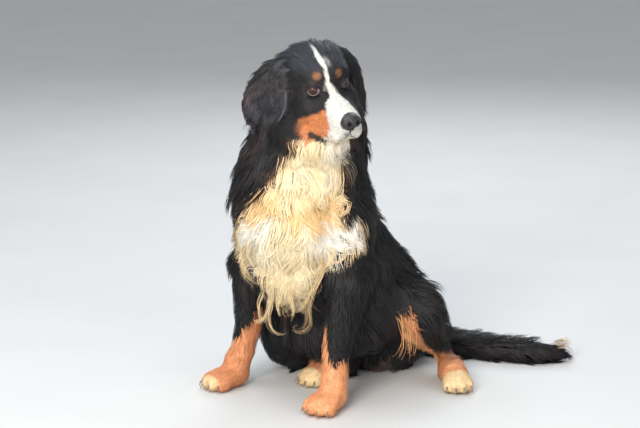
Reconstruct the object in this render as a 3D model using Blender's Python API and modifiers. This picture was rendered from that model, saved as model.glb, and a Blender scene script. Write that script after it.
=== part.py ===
"""A Bernese mountain dog, life size, sitting with its head turned to its left.

The dog's own frame has +Z up, its chest towards -Y and its left side towards +X, in metres.
The outlines are those of the coat: a skin under the coat lies inside them.
"""

import math

import bmesh
import bpy
from mathutils import Matrix, Vector
from mathutils.geometry import interpolate_bezier

# Where the origin lies in the dog's frame: the middle of the footprint, on the floor
FOOTPRINT_X, FOOTPRINT_Y = 0.0788, 0.0931

# Gaps between pieces that meet: at a plane cut, and round a piece set in a pocket
GAP, POCKET_GAP = 0.0003, 0.0008
RING_SIDES = 20

# For each kind of flesh: size of its smallest detail, rounds of softening, triangles it keeps
BODY_FINENESS = (0.006, 8, 2720)
HEAD_FINENESS = (0.004, 4, 2400)
EAR_FINENESS = (0.004, 3, 260)
NOSE_FINENESS = (0.0022, 2, 170)
PAW_FINENESS = (0.003, 4, 315)
CREASE_ANGLE = math.radians(50)

# Sizes of the head, from the middle of the skull
HEAD_CENTRE = Vector((0.060, -0.138, 0.722))
HEAD_TURN = math.radians(65)
HEAD_DIP = math.radians(15)
HEAD_TILT = math.radians(8)
SKULL_HALF_WIDTH = 0.078
EYE_RADIUS = 0.0125
EYE_FORWARD, EYE_OUT, EYE_UP = 0.0580, 0.0360, 0.009
NOSE_FORWARD, NOSE_UP = 0.163, -0.030
EAR_HALF_WIDTH = {1: 0.054, -1: 0.064}
EAR_HALF_THICKNESS = 0.010
EAR_FLARE = {1: 0.017, -1: -0.002}
EAR_ROOT_HEIGHT = {1: 0.040, -1: 0.048}
EAR_FOLD = {1: Vector((-0.034, 0.096, 0.046)), -1: Vector((-0.028, 0.088, 0.043))}
EAR_FORWARD, EAR_IN = {1: 0.000, -1: 0.008}, {1: 0.000, -1: 0.006}

# Feet: where each stands, which way its toes point (degrees from straight ahead, to its left)
PAW_WIDTH = {"fore": 0.082, "hind": 0.072}
FEET = {
    "fore_left": (Vector((0.136, -0.200, 0)), 3),
    "fore_right": (Vector((-0.157, -0.180, 0)), -16),
    "hind_left": (Vector((0.275, 0.112, 0)), 42),
    "hind_right": (Vector((0.000, -0.030, 0)), -10),
}
TOE_SHARES = (-0.354, -0.128, 0.128, 0.354)
CLAW_LENGTH, CLAW_RADIUS = 0.012, 0.0034

# Joints of the legs: elbow and wrist in front, hip, knee and hock behind
LEG_JOINTS = {
    "fore_left": (Vector((0.132, -0.105, 0.300)), Vector((0.130, -0.160, 0.110))),
    "fore_right": (Vector((-0.136, -0.102, 0.290)), Vector((-0.138, -0.132, 0.120))),
    "hind_left": (
        Vector((0.105, 0.175, 0.140)),
        Vector((0.218, 0.068, 0.195)),
        Vector((0.175, 0.222, 0.048)),
    ),
    "hind_right": (
        Vector((-0.090, 0.170, 0.130)),
        Vector((-0.180, 0.030, 0.165)),
        Vector((-0.045, 0.120, 0.045)),
    ),
}

# How the body is parted: boxes in a frame, each from its lowest to its highest corner
UPRIGHT = Matrix.Identity(4)
UNDER_FLOOR = ((-1.000, -1.000, -1.000), (1.000, 1.000, 0.000))
HEAD_CUT_SLOPE = math.radians(14)
HEAD_BOX = ((-0.400, -0.400, -0.092), (0.400, 0.400, 0.400))
PAW_BOX = {
    "fore": ((-0.090, -0.060, -0.010), (0.090, 0.060, 0.080)),
    "hind": ((-0.060, -0.052, -0.010), (0.090, 0.052, 0.064)),
}
BODY_CUTS = {
    "neck": (
        Matrix.Translation((0, -0.100, 0.520)) @ Matrix.Rotation(math.radians(24), 4, "X"),
        ((-0.400, -0.400, 0.000), (0.400, 0.400, 0.400)),
    ),
    "tail": (Matrix.Rotation(math.radians(-24), 4, "Z"), ((-0.160, 0.285, -0.100), (0.500, 0.700, 0.200))),
    "hindleg_left": (
        Matrix.Translation((0, -0.030, 0.100)) @ Matrix.Rotation(math.radians(-6), 4, "X"),
        ((0.115, 0.000, -0.200), (0.450, 0.500, 0.220)),
    ),
    "hindleg_right": (
        Matrix.Translation((0, -0.068, 0.100)) @ Matrix.Rotation(math.radians(-11), 4, "X"),
        ((-0.400, 0.000, -0.200), (-0.100, 0.500, 0.220)),
    ),
    "foreleg_left": (UPRIGHT, ((0.072, -0.400, -0.100), (0.300, -0.028, 0.300))),
    "foreleg_right": (UPRIGHT, ((-0.300, -0.400, -0.100), (-0.072, -0.028, 0.300))),
}

# Finishes: colour and roughness
COAT_BLACK = ((0.016, 0.015, 0.017, 1), 0.62)
COAT_RUST = ((0.420, 0.135, 0.045, 1), 0.70)
COAT_CREAM = ((0.780, 0.640, 0.440, 1), 0.75)
NOSE_LEATHER = ((0.020, 0.017, 0.018, 1), 0.38)
EYE_BROWN = ((0.085, 0.030, 0.014, 1), 0.08)
CLAW_HORN = ((0.070, 0.058, 0.050, 1), 0.42)


def clear_scene():
    for obj in list(bpy.data.objects):
        bpy.data.objects.remove(obj)


def give_finish(obj, finish):
    """A material of the object's own, and smooth shading up to its creases."""
    colour, roughness = finish
    material = bpy.data.materials.new(f"{obj.name}_finish")
    material.use_nodes = True
    shader = material.node_tree.nodes["Principled BSDF"]
    shader.inputs["Base Color"].default_value = colour
    shader.inputs["Roughness"].default_value = roughness
    shader.inputs["Metallic"].default_value = 0.0
    obj.data.materials.clear()
    obj.data.materials.append(material)
    obj.data.shade_smooth()
    obj.data.set_sharp_from_angle(angle=CREASE_ANGLE)


def closed_mesh(name, bm):
    """A mesh of the bmesh with its faces turned outwards."""
    bm.normal_update()
    bmesh.ops.recalc_face_normals(bm, faces=bm.faces[:])
    if bm.calc_volume(signed=True) < 0:
        bmesh.ops.reverse_faces(bm, faces=bm.faces[:])
    mesh = bpy.data.meshes.new(name)
    bm.to_mesh(mesh)
    bm.free()
    return mesh


def collection_named(name):
    found = bpy.data.collections.get(name)
    if found is None:
        found = bpy.data.collections.new(name)
        bpy.context.scene.collection.children.link(found)
    return found


def new_part(name, mesh):
    obj = bpy.data.objects.new(name, mesh)
    collection_named("bernese_mountain_dog").objects.link(obj)
    return obj


def new_cutter(mesh):
    obj = bpy.data.objects.new("cutter", mesh)
    obj.hide_render = True
    obj.display_type = "WIRE"
    collection_named("cutters").objects.link(obj)
    return obj


def through_stations(stations, steps):
    """The stations and the values between them, on one smooth curve in every coordinate."""
    smooth = []
    last = len(stations) - 1
    for i in range(last):
        before, here = stations[max(i - 1, 0)], stations[i]
        there, after = stations[i + 1], stations[min(i + 2, last)]
        for step in range(steps):
            t = step / steps
            smooth.append(
                tuple(
                    b + 0.5 * t * ((c - a) + t * ((2 * a - 5 * b + 4 * c - d) + t * (3 * (b - c) + d - a)))
                    for a, b, c, d in zip(before, here, there, after)
                )
            )
    smooth.append(tuple(stations[last]))
    return smooth


def ring(bm, centre, side, front, squareness, sides):
    """One closed loop of points; side and front are its half axes."""
    points = []
    for k in range(sides):
        angle = 2 * math.pi * k / sides
        c, s = math.cos(angle), math.sin(angle)
        across = math.copysign(abs(c) ** squareness, c)
        along = math.copysign(abs(s) ** squareness, s)
        points.append(bm.verts.new(centre + side * across + front * along))
    return points


def limb(stations, side=(1, 0, 0), squareness=1.0, frame=None, sides=RING_SIDES, steps=4):
    """A closed tube through stations of (x, y, z, half width, half depth)."""
    bm = bmesh.new()
    smooth = through_stations(stations, steps)
    centres = [Vector(s[:3]) for s in smooth]
    loops = []
    for i, station in enumerate(smooth):
        tangent = (centres[min(i + 1, len(centres) - 1)] - centres[max(i - 1, 0)]).normalized()
        front = tangent.cross(Vector(side)).normalized()
        across = front.cross(tangent).normalized()
        loops.append(ring(bm, centres[i], across * station[3], front * station[4], squareness, sides))
    for low, high in zip(loops, loops[1:]):
        for k in range(sides):
            j = (k + 1) % sides
            bm.faces.new((low[k], low[j], high[j], high[k]))
    bm.faces.new(loops[0])
    bm.faces.new(loops[-1])
    if frame is not None:
        bm.transform(frame)
    return bm


def lump(centre, radii, turn=(0, 0, 0), frame=None, segments=20):
    """An ellipsoid; turn is its rotation in degrees about x, y and z."""
    bm = bmesh.new()
    bmesh.ops.create_uvsphere(bm, u_segments=segments, v_segments=segments * 2 // 3, radius=1)
    place = Matrix.Translation(centre)
    for axis, degrees in zip("XYZ", turn):
        place = place @ Matrix.Rotation(math.radians(degrees), 4, axis)
    bm.transform(place @ Matrix.Diagonal((*radii, 1)))
    if frame is not None:
        bm.transform(frame)
    return bm


def both_sides(centre, radii, turn=(0, 0, 0), frame=None):
    """The same lump on the left and on the right of a form whose left is +y."""
    x, y, z = centre
    a, b, c = turn
    return [
        lump((x, y, z), radii, (a, b, c), frame),
        lump((x, -y, z), radii, (-a, b, -c), frame),
    ]


def keep_shape(obj):
    """Puts what the modifiers make into the object's own mesh."""
    graph = bpy.context.evaluated_depsgraph_get()
    made = bpy.data.meshes.new_from_object(obj.evaluated_get(graph))
    old = obj.data
    obj.modifiers.clear()
    obj.data = made
    bpy.data.meshes.remove(old)
    return obj


def flesh(name, forms, fineness):
    """One smooth closed body from forms that overlap."""
    voxel, softening, triangles = fineness
    bm = bmesh.new()
    for form in forms:
        part = closed_mesh("form", form)
        bm.from_mesh(part)
        bpy.data.meshes.remove(part)
    mesh = bpy.data.meshes.new(name)
    bm.to_mesh(mesh)
    bm.free()
    obj = new_part(name, mesh)
    remesh = obj.modifiers.new("fuse", "REMESH")
    remesh.mode = "VOXEL"
    remesh.voxel_size = voxel
    smooth = obj.modifiers.new("soften", "SMOOTH")
    smooth.factor = 0.5
    smooth.iterations = softening
    keep_shape(obj)
    thin = obj.modifiers.new("thin", "DECIMATE")
    thin.ratio = min(1.0, triangles / (2 * len(obj.data.polygons)))
    return keep_shape(obj)


def cut(obj, mesh, operation="DIFFERENCE"):
    """Cuts the object once with a mesh, and keeps its main body."""
    cutter = new_cutter(mesh)
    modifier = obj.modifiers.new("cut", "BOOLEAN")
    modifier.object = cutter
    modifier.operation = operation
    modifier.solver = "EXACT"
    keep_shape(obj)
    bpy.data.objects.remove(cutter)
    keep_largest(obj)


def box_mesh(frame, corners, margin=0.0):
    """A box in a frame, made larger by the margin on every side."""
    grow = Vector((margin, margin, margin))
    low, high = Vector(corners[0]) - grow, Vector(corners[1]) + grow
    bm = bmesh.new()
    bmesh.ops.create_cube(bm, size=1)
    bm.transform(frame @ Matrix.Translation((low + high) / 2) @ Matrix.Diagonal((*(high - low), 1)))
    return closed_mesh("box", bm)


def part_off(name, whole, frame, corners):
    """Takes what lies inside a box off the whole as a piece of its own, with a gap between them."""
    piece = new_part(name, whole.data.copy())
    cut(piece, box_mesh(frame, corners), "INTERSECT")
    cut(whole, box_mesh(frame, corners, GAP))
    return piece


def keep_largest(obj):
    """Drops crumbs that a cut left beside the main body."""
    bm = bmesh.new()
    bm.from_mesh(obj.data)
    left, islands = set(bm.verts), []
    while left:
        island, edge = set(), [left.pop()]
        while edge:
            vert = edge.pop()
            island.add(vert)
            for link in vert.link_edges:
                other = link.other_vert(vert)
                if other in left:
                    left.discard(other)
                    edge.append(other)
        islands.append(island)
    islands.sort(key=len)
    for island in islands[:-1]:
        bmesh.ops.delete(bm, geom=list(island), context="VERTS")
    bm.to_mesh(obj.data)
    bm.free()


def make_room(obj, neighbour):
    """A pocket for the neighbour in the object, with a gap round it."""
    swollen = neighbour.data.copy()
    for vert in swollen.vertices:
        vert.co += vert.normal * POCKET_GAP
    cut(obj, neighbour.data.copy())
    cut(obj, swollen)


def head_frame():
    """Head axes: x to the nose, y to the dog's left, z to the crown."""
    turn = Matrix.Rotation(HEAD_TURN - math.pi / 2, 4, "Z")
    dip = Matrix.Rotation(HEAD_DIP, 4, "Y")
    tilt = Matrix.Rotation(HEAD_TILT, 4, "X")
    return Matrix.Translation(HEAD_CENTRE) @ turn @ dip @ tilt


def foot_frame(foot):
    """Foot axes: x to the toes, y to the dog's left, z up, from the floor under the palm."""
    place, toes_left = FEET[foot]
    return Matrix.Translation(place) @ Matrix.Rotation(math.radians(toes_left - 90), 4, "Z")


def head_forms(frame):
    """Skull, brows, cheeks, muzzle with its lips, and the lower jaw."""
    forms = [
        lump((-0.013, 0, 0.012), (0.086, SKULL_HALF_WIDTH, 0.070), frame=frame),
        lump((0.024, 0, 0.018), (0.052, 0.060, 0.054), (0, 18, 0), frame),
        lump((-0.028, 0, -0.045), (0.078, 0.084, 0.075), frame=frame),
        lump((-0.055, 0, -0.110), (0.092, 0.105, 0.090), frame=frame),
        lump((-0.052, 0, -0.020), (0.066, 0.074, 0.070), frame=frame),
        limb(
            [
                (0.020, 0, -0.030, 0.058, 0.060),
                (0.060, 0, -0.034, 0.048, 0.048),
                (0.095, 0, -0.039, 0.042, 0.042),
                (0.132, 0, -0.043, 0.038, 0.038),
                (0.153, 0, -0.045, 0.030, 0.031),
                (0.160, 0, -0.046, 0.018, 0.020),
            ],
            side=(0, 1, 0),
            squareness=0.82,
            frame=frame,
        ),
        limb(
            [
                (0.010, 0, -0.070, 0.042, 0.036),
                (0.060, 0, -0.080, 0.034, 0.026),
                (0.105, 0, -0.084, 0.026, 0.018),
                (0.130, 0, -0.082, 0.016, 0.012),
            ],
            side=(0, 1, 0),
            frame=frame,
        ),
    ]
    forms += both_sides((0.024, 0.042, -0.038), (0.062, 0.033, 0.045), (0, 0, 14), frame)
    forms += both_sides((0.060, 0.026, -0.042), (0.046, 0.032, 0.044), (0, 10, 16), frame)
    forms += both_sides((0.112, 0.021, -0.063), (0.046, 0.023, 0.028), (0, 8, 4), frame)
    forms += both_sides((0.058, 0.030, -0.076), (0.056, 0.030, 0.034), (0, 4, 6), frame)
    forms += both_sides((0.046, 0.034, 0.035), (0.026, 0.020, 0.012), (0, 25, 25), frame)
    forms += both_sides((-0.020, 0.040, 0.048), (0.048, 0.030, 0.025), frame=frame)
    return forms


def ear_form(side, frame):
    """A hanging flap: its front edge by the cheek, its rear edge out and back."""
    flare = EAR_FLARE[side]
    middle_line = interpolate_bezier(
        Vector((-0.024, 0.056, EAR_ROOT_HEIGHT[side])),
        EAR_FOLD[side],
        Vector((-0.038, 0.128, -0.020)),
        Vector((-0.022, 0.112, -0.118)),
        41,
    )
    spread = (
        (0.000, 0.36),
        (0.150, 0.50),
        (0.350, 0.70),
        (0.600, 0.92),
        (0.800, 1.00),
        (0.930, 0.80),
        (1.000, 0.26),
    )
    stations = []
    for share, part in spread:
        spot = middle_line[round(share * 40)]
        thick = EAR_HALF_THICKNESS * (0.45 + 0.75 * part) * (1.25 - 0.55 * share)
        out = side * (spot.y + flare * share * share - EAR_IN[side] * part)
        forward = spot.x + EAR_FORWARD[side] * part
        stations.append((forward, out, spot.z, EAR_HALF_WIDTH[side] * part, thick))
    return limb(stations, side=(0.80, -0.58 * side, 0.12), frame=frame)


def eye_form(side, frame):
    centre = (EYE_FORWARD, side * EYE_OUT, EYE_UP)
    return lump(centre, (EYE_RADIUS,) * 3, frame=frame, segments=12)


def nose_forms(frame):
    """The nose leather: a pad, a wing round each nostril, and the foot of the pad above the lip."""
    x, z = NOSE_FORWARD, NOSE_UP
    forms = [
        lump((x - 0.008, 0, z + 0.001), (0.019, 0.020, 0.0150), frame=frame),
        lump((x - 0.005, 0, z - 0.011), (0.014, 0.007, 0.012), frame=frame),
    ]
    return forms + both_sides((x - 0.006, 0.0115, z - 0.002), (0.0165, 0.0120, 0.0135), frame=frame)


def nostril_form(side, frame):
    return lump(
        (NOSE_FORWARD + 0.0085, side * 0.0095, NOSE_UP - 0.0010),
        (0.0075, 0.0042, 0.0034),
        (side * 30, 0, side * 28),
        frame,
        segments=9,
    )


def neck_and_trunk_forms():
    return [
        # Neck with its ruff
        limb(
            [
                (-0.002, -0.103, 0.500, 0.147, 0.136),
                (0.016, -0.098, 0.570, 0.143, 0.137),
                (0.026, -0.106, 0.640, 0.122, 0.122),
                (0.034, -0.112, 0.700, 0.090, 0.092),
                (0.038, -0.116, 0.735, 0.062, 0.062),
            ]
        ),
        # Chest and back, down to the seat
        limb(
            [
                (0.004, -0.097, 0.570, 0.134, 0.122),
                (-0.011, -0.109, 0.500, 0.147, 0.141),
                (-0.009, -0.093, 0.420, 0.160, 0.155),
                (-0.004, -0.043, 0.330, 0.159, 0.160),
                (0.004, 0.040, 0.245, 0.160, 0.150),
                (0.008, 0.125, 0.175, 0.158, 0.136),
                (0.010, 0.195, 0.130, 0.148, 0.112),
                (0.010, 0.235, 0.108, 0.110, 0.075),
            ],
            squareness=0.92,
        ),
        # Bib on the chest, and its lower end between the forelegs
        lump((0.005, -0.178, 0.400), (0.128, 0.100, 0.135), (8, 0, 0)),
        lump((0.000, -0.180, 0.300), (0.088, 0.060, 0.090), (-6, 0, 0)),
        # Belly, seat and rump, and the right thigh's fur, which spreads on the floor
        lump((0.010, 0.010, 0.130), (0.140, 0.120, 0.090)),
        lump((0.010, 0.180, 0.070), (0.150, 0.110, 0.080)),
        lump((0.010, 0.215, 0.100), (0.105, 0.090, 0.090)),
        lump((-0.128, 0.032, 0.092), (0.082, 0.098, 0.088)),
    ]


def foreleg_forms(side, elbow, wrist, foot):
    """From the shoulder down to the pastern, over the foot."""
    pastern = foot_frame(foot) @ Vector((-0.030, 0, 0.055))
    heel = foot_frame(foot) @ Vector((-0.024, 0, 0.018))
    forearm = elbow.lerp(wrist, 0.52)
    return [
        lump((side * 0.108, -0.092, 0.395), (0.068, 0.098, 0.145), (-14, 0, 0)),
        limb(
            [
                (side * 0.114, -0.082, 0.400, 0.054, 0.080),
                (*elbow, 0.051, 0.066),
                (*forearm, 0.040, 0.050),
                (*wrist, 0.032, 0.037),
                (*pastern, 0.031, 0.033),
                (*heel, 0.031, 0.033),
            ]
        ),
    ]


def hindleg_forms(hip, knee, hock, foot):
    """Thigh, lower leg, and the length from hock to toes, which lies along the floor."""
    toes = FEET[foot][0] + Vector((0, 0, 0.030))
    along = (knee - hip).normalized()
    across = along.cross(Vector((0, 0, 1))).normalized()
    return [
        limb(
            [
                (*hip, 0.070, 0.098),
                (*hip.lerp(knee, 0.5), 0.069, 0.076),
                (*(knee - along * 0.020), 0.055, 0.058),
                (*(knee + along * 0.012), 0.034, 0.036),
            ],
            side=across,
        ),
        limb(
            [
                (*knee, 0.044, 0.046),
                (*knee.lerp(hock, 0.5), 0.038, 0.044),
                (*hock, 0.033, 0.037),
            ],
            side=across,
        ),
        limb(
            [
                (*hock, 0.030, 0.036),
                (*hock.lerp(toes, 0.5), 0.031, 0.032),
                (*toes, 0.034, 0.030),
            ],
            side=(hock - toes).cross(Vector((0, 0, 1))).normalized(),
        ),
    ]


def tail_form():
    return limb(
        [
            (0.010, 0.245, 0.085, 0.055, 0.055),
            (0.040, 0.300, 0.056, 0.048, 0.046),
            (0.105, 0.345, 0.038, 0.046, 0.038),
            (0.180, 0.374, 0.033, 0.045, 0.035),
            (0.258, 0.396, 0.032, 0.042, 0.034),
            (0.318, 0.422, 0.031, 0.034, 0.030),
            (0.355, 0.444, 0.030, 0.022, 0.022),
            (0.374, 0.456, 0.030, 0.008, 0.010),
        ],
        side=(0.30, -0.95, 0),
    )


def paw_forms(foot):
    """Pad, instep, four toes and the leg's end above them."""
    frame = foot_frame(foot)
    half = PAW_WIDTH[foot[:4]] / 2
    forms = [
        lump((-0.010, 0, 0.026), (0.050, half * 0.84, 0.029), frame=frame),
        lump((0.020, 0, 0.024), (0.040, half * 0.86, 0.024), frame=frame),
    ]
    if foot.startswith("fore"):
        top = [
            (-0.030, 0, 0.072, 0.030, 0.032),
            (-0.026, 0, 0.050, 0.031, 0.033),
            (-0.016, 0, 0.020, 0.032, 0.035),
        ]
    else:
        top = [
            (-0.105, 0, 0.036, 0.030, 0.033),
            (-0.050, 0, 0.033, 0.033, 0.031),
            (0.000, 0, 0.028, 0.034, 0.026),
        ]
    forms.append(limb(top, side=(0, 1, 0), frame=frame))
    for offset in toe_offsets(foot):
        reach = toe_reach(offset)
        wide = half * 0.30
        forms.append(lump((reach, offset, 0.0195), (0.026, wide, 0.0190), (0, 14, offset * 300), frame))
        forms.append(lump((reach - 0.018, offset * 0.96, 0.028), (0.022, wide * 0.92, 0.0155), (0, 20, 0), frame))
    return forms


def toe_offsets(foot):
    """How far each toe lies to the left of the paw's middle."""
    return [PAW_WIDTH[foot[:4]] * share for share in TOE_SHARES]


def toe_reach(offset):
    """The two middle toes stand ahead of the outer two."""
    return 0.040 if abs(offset) < 0.02 else 0.028


def claw_form(foot, offset):
    """A short horn cone that curves down from the toe's end."""
    start = toe_reach(offset) + 0.016
    claw = (
        (0.00, 0.0190, 1.00),
        (0.45, 0.0180, 0.85),
        (0.80, 0.0130, 0.55),
        (1.00, 0.0060, 0.20),
    )
    stations = []
    for share, height, part in claw:
        radius = CLAW_RADIUS * part
        stations.append((start + CLAW_LENGTH * share, offset * (1.05 + 0.10 * share), height, radius, radius))
    return limb(stations, side=(0, 1, 0), frame=foot_frame(foot), sides=6, steps=1)


def leg_forms(foot):
    if foot.startswith("fore"):
        return foreleg_forms(1 if foot.endswith("left") else -1, *LEG_JOINTS[foot], foot)
    return hindleg_forms(*LEG_JOINTS[foot], foot)


def body_forms():
    forms = neck_and_trunk_forms() + [tail_form()] + head_forms(head_frame())
    for foot in FEET:
        forms += leg_forms(foot) + paw_forms(foot)
    return forms


def make_trunk():
    """The whole body, flat where it rests; the other pieces are parted off it."""
    trunk = flesh("trunk", body_forms(), BODY_FINENESS)
    cut(trunk, box_mesh(UPRIGHT, UNDER_FLOOR))
    return trunk


def make_head(trunk):
    """Head, ears, eyes and nose."""
    frame = head_frame()
    under_jaw = frame @ Matrix.Rotation(HEAD_CUT_SLOPE, 4, "Y")
    head = flesh("head", head_forms(frame) + neck_and_trunk_forms()[:2], HEAD_FINENESS)
    cut(head, box_mesh(under_jaw, HEAD_BOX), "INTERSECT")
    cut(trunk, box_mesh(under_jaw, HEAD_BOX, GAP))
    pieces = [(head, COAT_BLACK)]
    for side_name, side in (("left", 1), ("right", -1)):
        ear = flesh(f"ear_{side_name}", [ear_form(side, frame)], EAR_FINENESS)
        eye = new_part(f"eye_{side_name}", closed_mesh("eye", eye_form(side, frame)))
        make_room(head, ear)
        make_room(head, eye)
        make_room(trunk, ear)
        pieces += [(ear, COAT_BLACK), (eye, EYE_BROWN)]
    nose = flesh("nose", nose_forms(frame), NOSE_FINENESS)
    for side in (1, -1):
        cut(nose, closed_mesh("nostril", nostril_form(side, frame)))
    make_room(head, nose)
    return pieces + [(nose, NOSE_LEATHER)]


def make_paw(foot, trunk):
    """A foot with its claws."""
    pair, frame = foot[:4], foot_frame(foot)
    paw = flesh(f"paw_{foot}", paw_forms(foot) + leg_forms(foot)[1:], PAW_FINENESS)
    cut(paw, box_mesh(UPRIGHT, UNDER_FLOOR))
    cut(paw, box_mesh(frame, PAW_BOX[pair]), "INTERSECT")
    cut(trunk, box_mesh(frame, PAW_BOX[pair], GAP))
    pieces = [(paw, COAT_RUST if pair == "fore" else COAT_CREAM)]
    for number, offset in enumerate(toe_offsets(foot), 1):
        claw = new_part(f"claw_{foot}_{number}", closed_mesh("claw", claw_form(foot, offset)))
        make_room(paw, claw)
        pieces.append((claw, CLAW_HORN))
    return pieces


def main():
    clear_scene()
    trunk = make_trunk()
    pieces = [(trunk, COAT_BLACK)] + make_head(trunk)
    for foot in FEET:
        pieces += make_paw(foot, trunk)
    for name, (frame, corners) in BODY_CUTS.items():
        pieces.append((part_off(name, trunk, frame, corners), COAT_BLACK))
    to_origin = Matrix.Translation((-FOOTPRINT_X, -FOOTPRINT_Y, 0))
    for obj, finish in pieces:
        obj.data.transform(to_origin)
        give_finish(obj, finish)


main()
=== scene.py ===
# %% [markdown]
# # A Bernese mountain dog, sitting, life size
#
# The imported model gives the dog's true shape as plain solids. This lesson gives it a skin, eyes,
# a nose, claws and a coat of many thousand small locks, all in the same place as the solids.
# Every step first says what the piece is on a real dog and why it is made the way it is.

# %% Load the solids
import math

import bmesh
import bpy
import numpy as np
from mathutils import Matrix, Vector
from mathutils.bvhtree import BVHTree
from mathutils.kdtree import KDTree


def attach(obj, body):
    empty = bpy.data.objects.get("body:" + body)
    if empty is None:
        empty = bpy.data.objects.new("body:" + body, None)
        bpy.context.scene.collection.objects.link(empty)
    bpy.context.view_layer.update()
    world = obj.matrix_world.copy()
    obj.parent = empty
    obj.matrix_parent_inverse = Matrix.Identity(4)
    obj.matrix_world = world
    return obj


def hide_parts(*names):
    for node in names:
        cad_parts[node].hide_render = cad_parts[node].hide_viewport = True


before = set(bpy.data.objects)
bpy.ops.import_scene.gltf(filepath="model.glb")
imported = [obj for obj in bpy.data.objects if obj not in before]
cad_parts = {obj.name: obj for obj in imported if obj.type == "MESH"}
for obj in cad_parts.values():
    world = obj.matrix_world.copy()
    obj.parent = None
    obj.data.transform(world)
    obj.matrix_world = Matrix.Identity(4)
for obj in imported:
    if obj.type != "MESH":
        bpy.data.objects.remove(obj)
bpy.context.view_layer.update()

# %% [markdown]
# ## The dog's own measures
#
# The solids were drawn with the dog facing -Y and then moved so that the part is centred. All
# places below are in the drawing's frame, so one shift brings them to the part's frame. The head
# has a frame of its own: x along the muzzle, y to the dog's left and z to the crown.

# %% The body's and the head's frames
BODY_SHIFT = np.array((0.0788, 0.0931, 0.0))
HEAD_CENTRE = np.array((0.060, -0.138, 0.722))
head_turn = np.array(
    Matrix.Rotation(math.radians(-25), 3, "Z")
    @ Matrix.Rotation(math.radians(15), 3, "Y")
    @ Matrix.Rotation(math.radians(8), 3, "X")
)


def in_head(points):
    """Points of the drawing's frame, seen from the head."""
    return (points - HEAD_CENTRE) @ head_turn


def from_head(points):
    """Points of the head's frame, in the drawing's."""
    return np.asarray(points, float) @ head_turn.T + HEAD_CENTRE


def unit(vectors):
    """Vectors of length one."""
    return vectors / np.maximum(np.linalg.norm(vectors, axis=-1, keepdims=True), 1e-9)


def fade(value, low, high):
    """0 below low, 1 above high, and smooth between."""
    share = np.clip((value - low) / (high - low), 0.0, 1.0)
    return share * share * (3.0 - 2.0 * share)


def wander(points, size, seed):
    """Soft random waves of about that size in space, from -1 to 1, the same on every run."""
    draw = np.random.default_rng(seed)
    total = np.zeros(len(points))
    for _ in range(6):
        way = unit(draw.normal(size=3)) * (2 * math.pi / size) * draw.uniform(0.6, 1.4)
        total += np.sin(points @ way + draw.uniform(0, 2 * math.pi))
    return total / 3.5


print("head looks along", head_turn[:, 0].round(3))

# %% [markdown]
# ## Camera
#
# The photograph was taken from standing height, a little to the dog's left, through a long lens.
# The place, turn and lens here put the solids' feet, crown and tail where the photo has them.

# %% Place the camera
CAMERA_PLACE = (2.4198, -3.6729, 1.3077)
CAMERA_TURN, CAMERA_DIP = 35.175, 11.82
LENS_MM = 109.93

camera_data = bpy.data.cameras.new("photo_camera")
camera_data.sensor_width = 36.0
camera_data.lens = LENS_MM
camera_data.clip_end = 60.0
camera = bpy.data.objects.new("photo_camera", camera_data)
camera.location = CAMERA_PLACE
camera.rotation_euler = (math.radians(90 - CAMERA_DIP), 0, math.radians(CAMERA_TURN))
bpy.context.scene.collection.objects.link(camera)
bpy.context.scene.camera = camera
print("lens", LENS_MM, "mm")

# %% [markdown]
# ## Floor and light
#
# A pale studio floor keeps the dark coat readable. One big soft lamp stands for the open sky on
# the camera's left, a second fills the shadows, and a third from behind draws a rim on the fur.


# %% Floor, sky and lamps
def finish(name):
    """A new material with nodes, its node tree and its Principled shader."""
    material = bpy.data.materials.new(name)
    material.use_nodes = True
    tree = material.node_tree
    return material, tree, tree.nodes["Principled BSDF"]


def soft_lamp(name, place, aim, size, watts, colour):
    """A square area lamp that looks at a point."""
    data = bpy.data.lights.new(name, "AREA")
    data.size, data.energy, data.color = size, watts, colour
    lamp = bpy.data.objects.new(name, data)
    lamp.location = place
    lamp.rotation_euler = (Vector(aim) - Vector(place)).to_track_quat("-Z", "Y").to_euler()
    bpy.context.scene.collection.objects.link(lamp)


bpy.ops.object.select_all(action="DESELECT")
bpy.ops.mesh.primitive_plane_add(size=24.0, location=(0, 4.0, 0))
floor = bpy.context.object
floor.name = "studio_floor"
floor_paint, tree, shader = finish("pale_floor")
grain = tree.nodes.new("ShaderNodeTexNoise")
grain.inputs["Scale"].default_value = 3.0
ramp = tree.nodes.new("ShaderNodeValToRGB")
ramp.color_ramp.elements[0].color = (0.60, 0.60, 0.59, 1)
ramp.color_ramp.elements[1].color = (0.66, 0.66, 0.65, 1)
where = tree.nodes.new("ShaderNodeTexCoord")
tree.links.new(where.outputs["Object"], grain.inputs["Vector"])
tree.links.new(grain.outputs["Fac"], ramp.inputs["Fac"])
tree.links.new(ramp.outputs["Color"], shader.inputs["Base Color"])
shader.inputs["Roughness"].default_value = 0.8
floor.data.materials.append(floor_paint)

world = bpy.data.worlds.new("studio_sky")
world.use_nodes = True
world.node_tree.nodes["Background"].inputs["Color"].default_value = (0.93, 0.95, 1.0, 1)
world.node_tree.nodes["Background"].inputs["Strength"].default_value = 0.50
bpy.context.scene.world = world

soft_lamp("sun_lamp", (1.2, -4.1, 2.3), (0, -0.1, 0.40), 1.8, 215, (1.0, 0.965, 0.91))
soft_lamp("sky_lamp", (-0.6, -0.9, 4.0), (0, 0, 0.45), 2.4, 75, (0.84, 0.92, 1.0))
soft_lamp("fill_lamp", (3.4, -1.6, 1.2), (0, 0, 0.3), 2.2, 30, (1.0, 0.98, 0.96))
soft_lamp("rim_lamp", (-1.6, 3.0, 2.8), (0, 0, 0.5), 1.8, 60, (0.90, 0.95, 1.0))
bpy.context.scene.view_settings.view_transform = "Standard"

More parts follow.
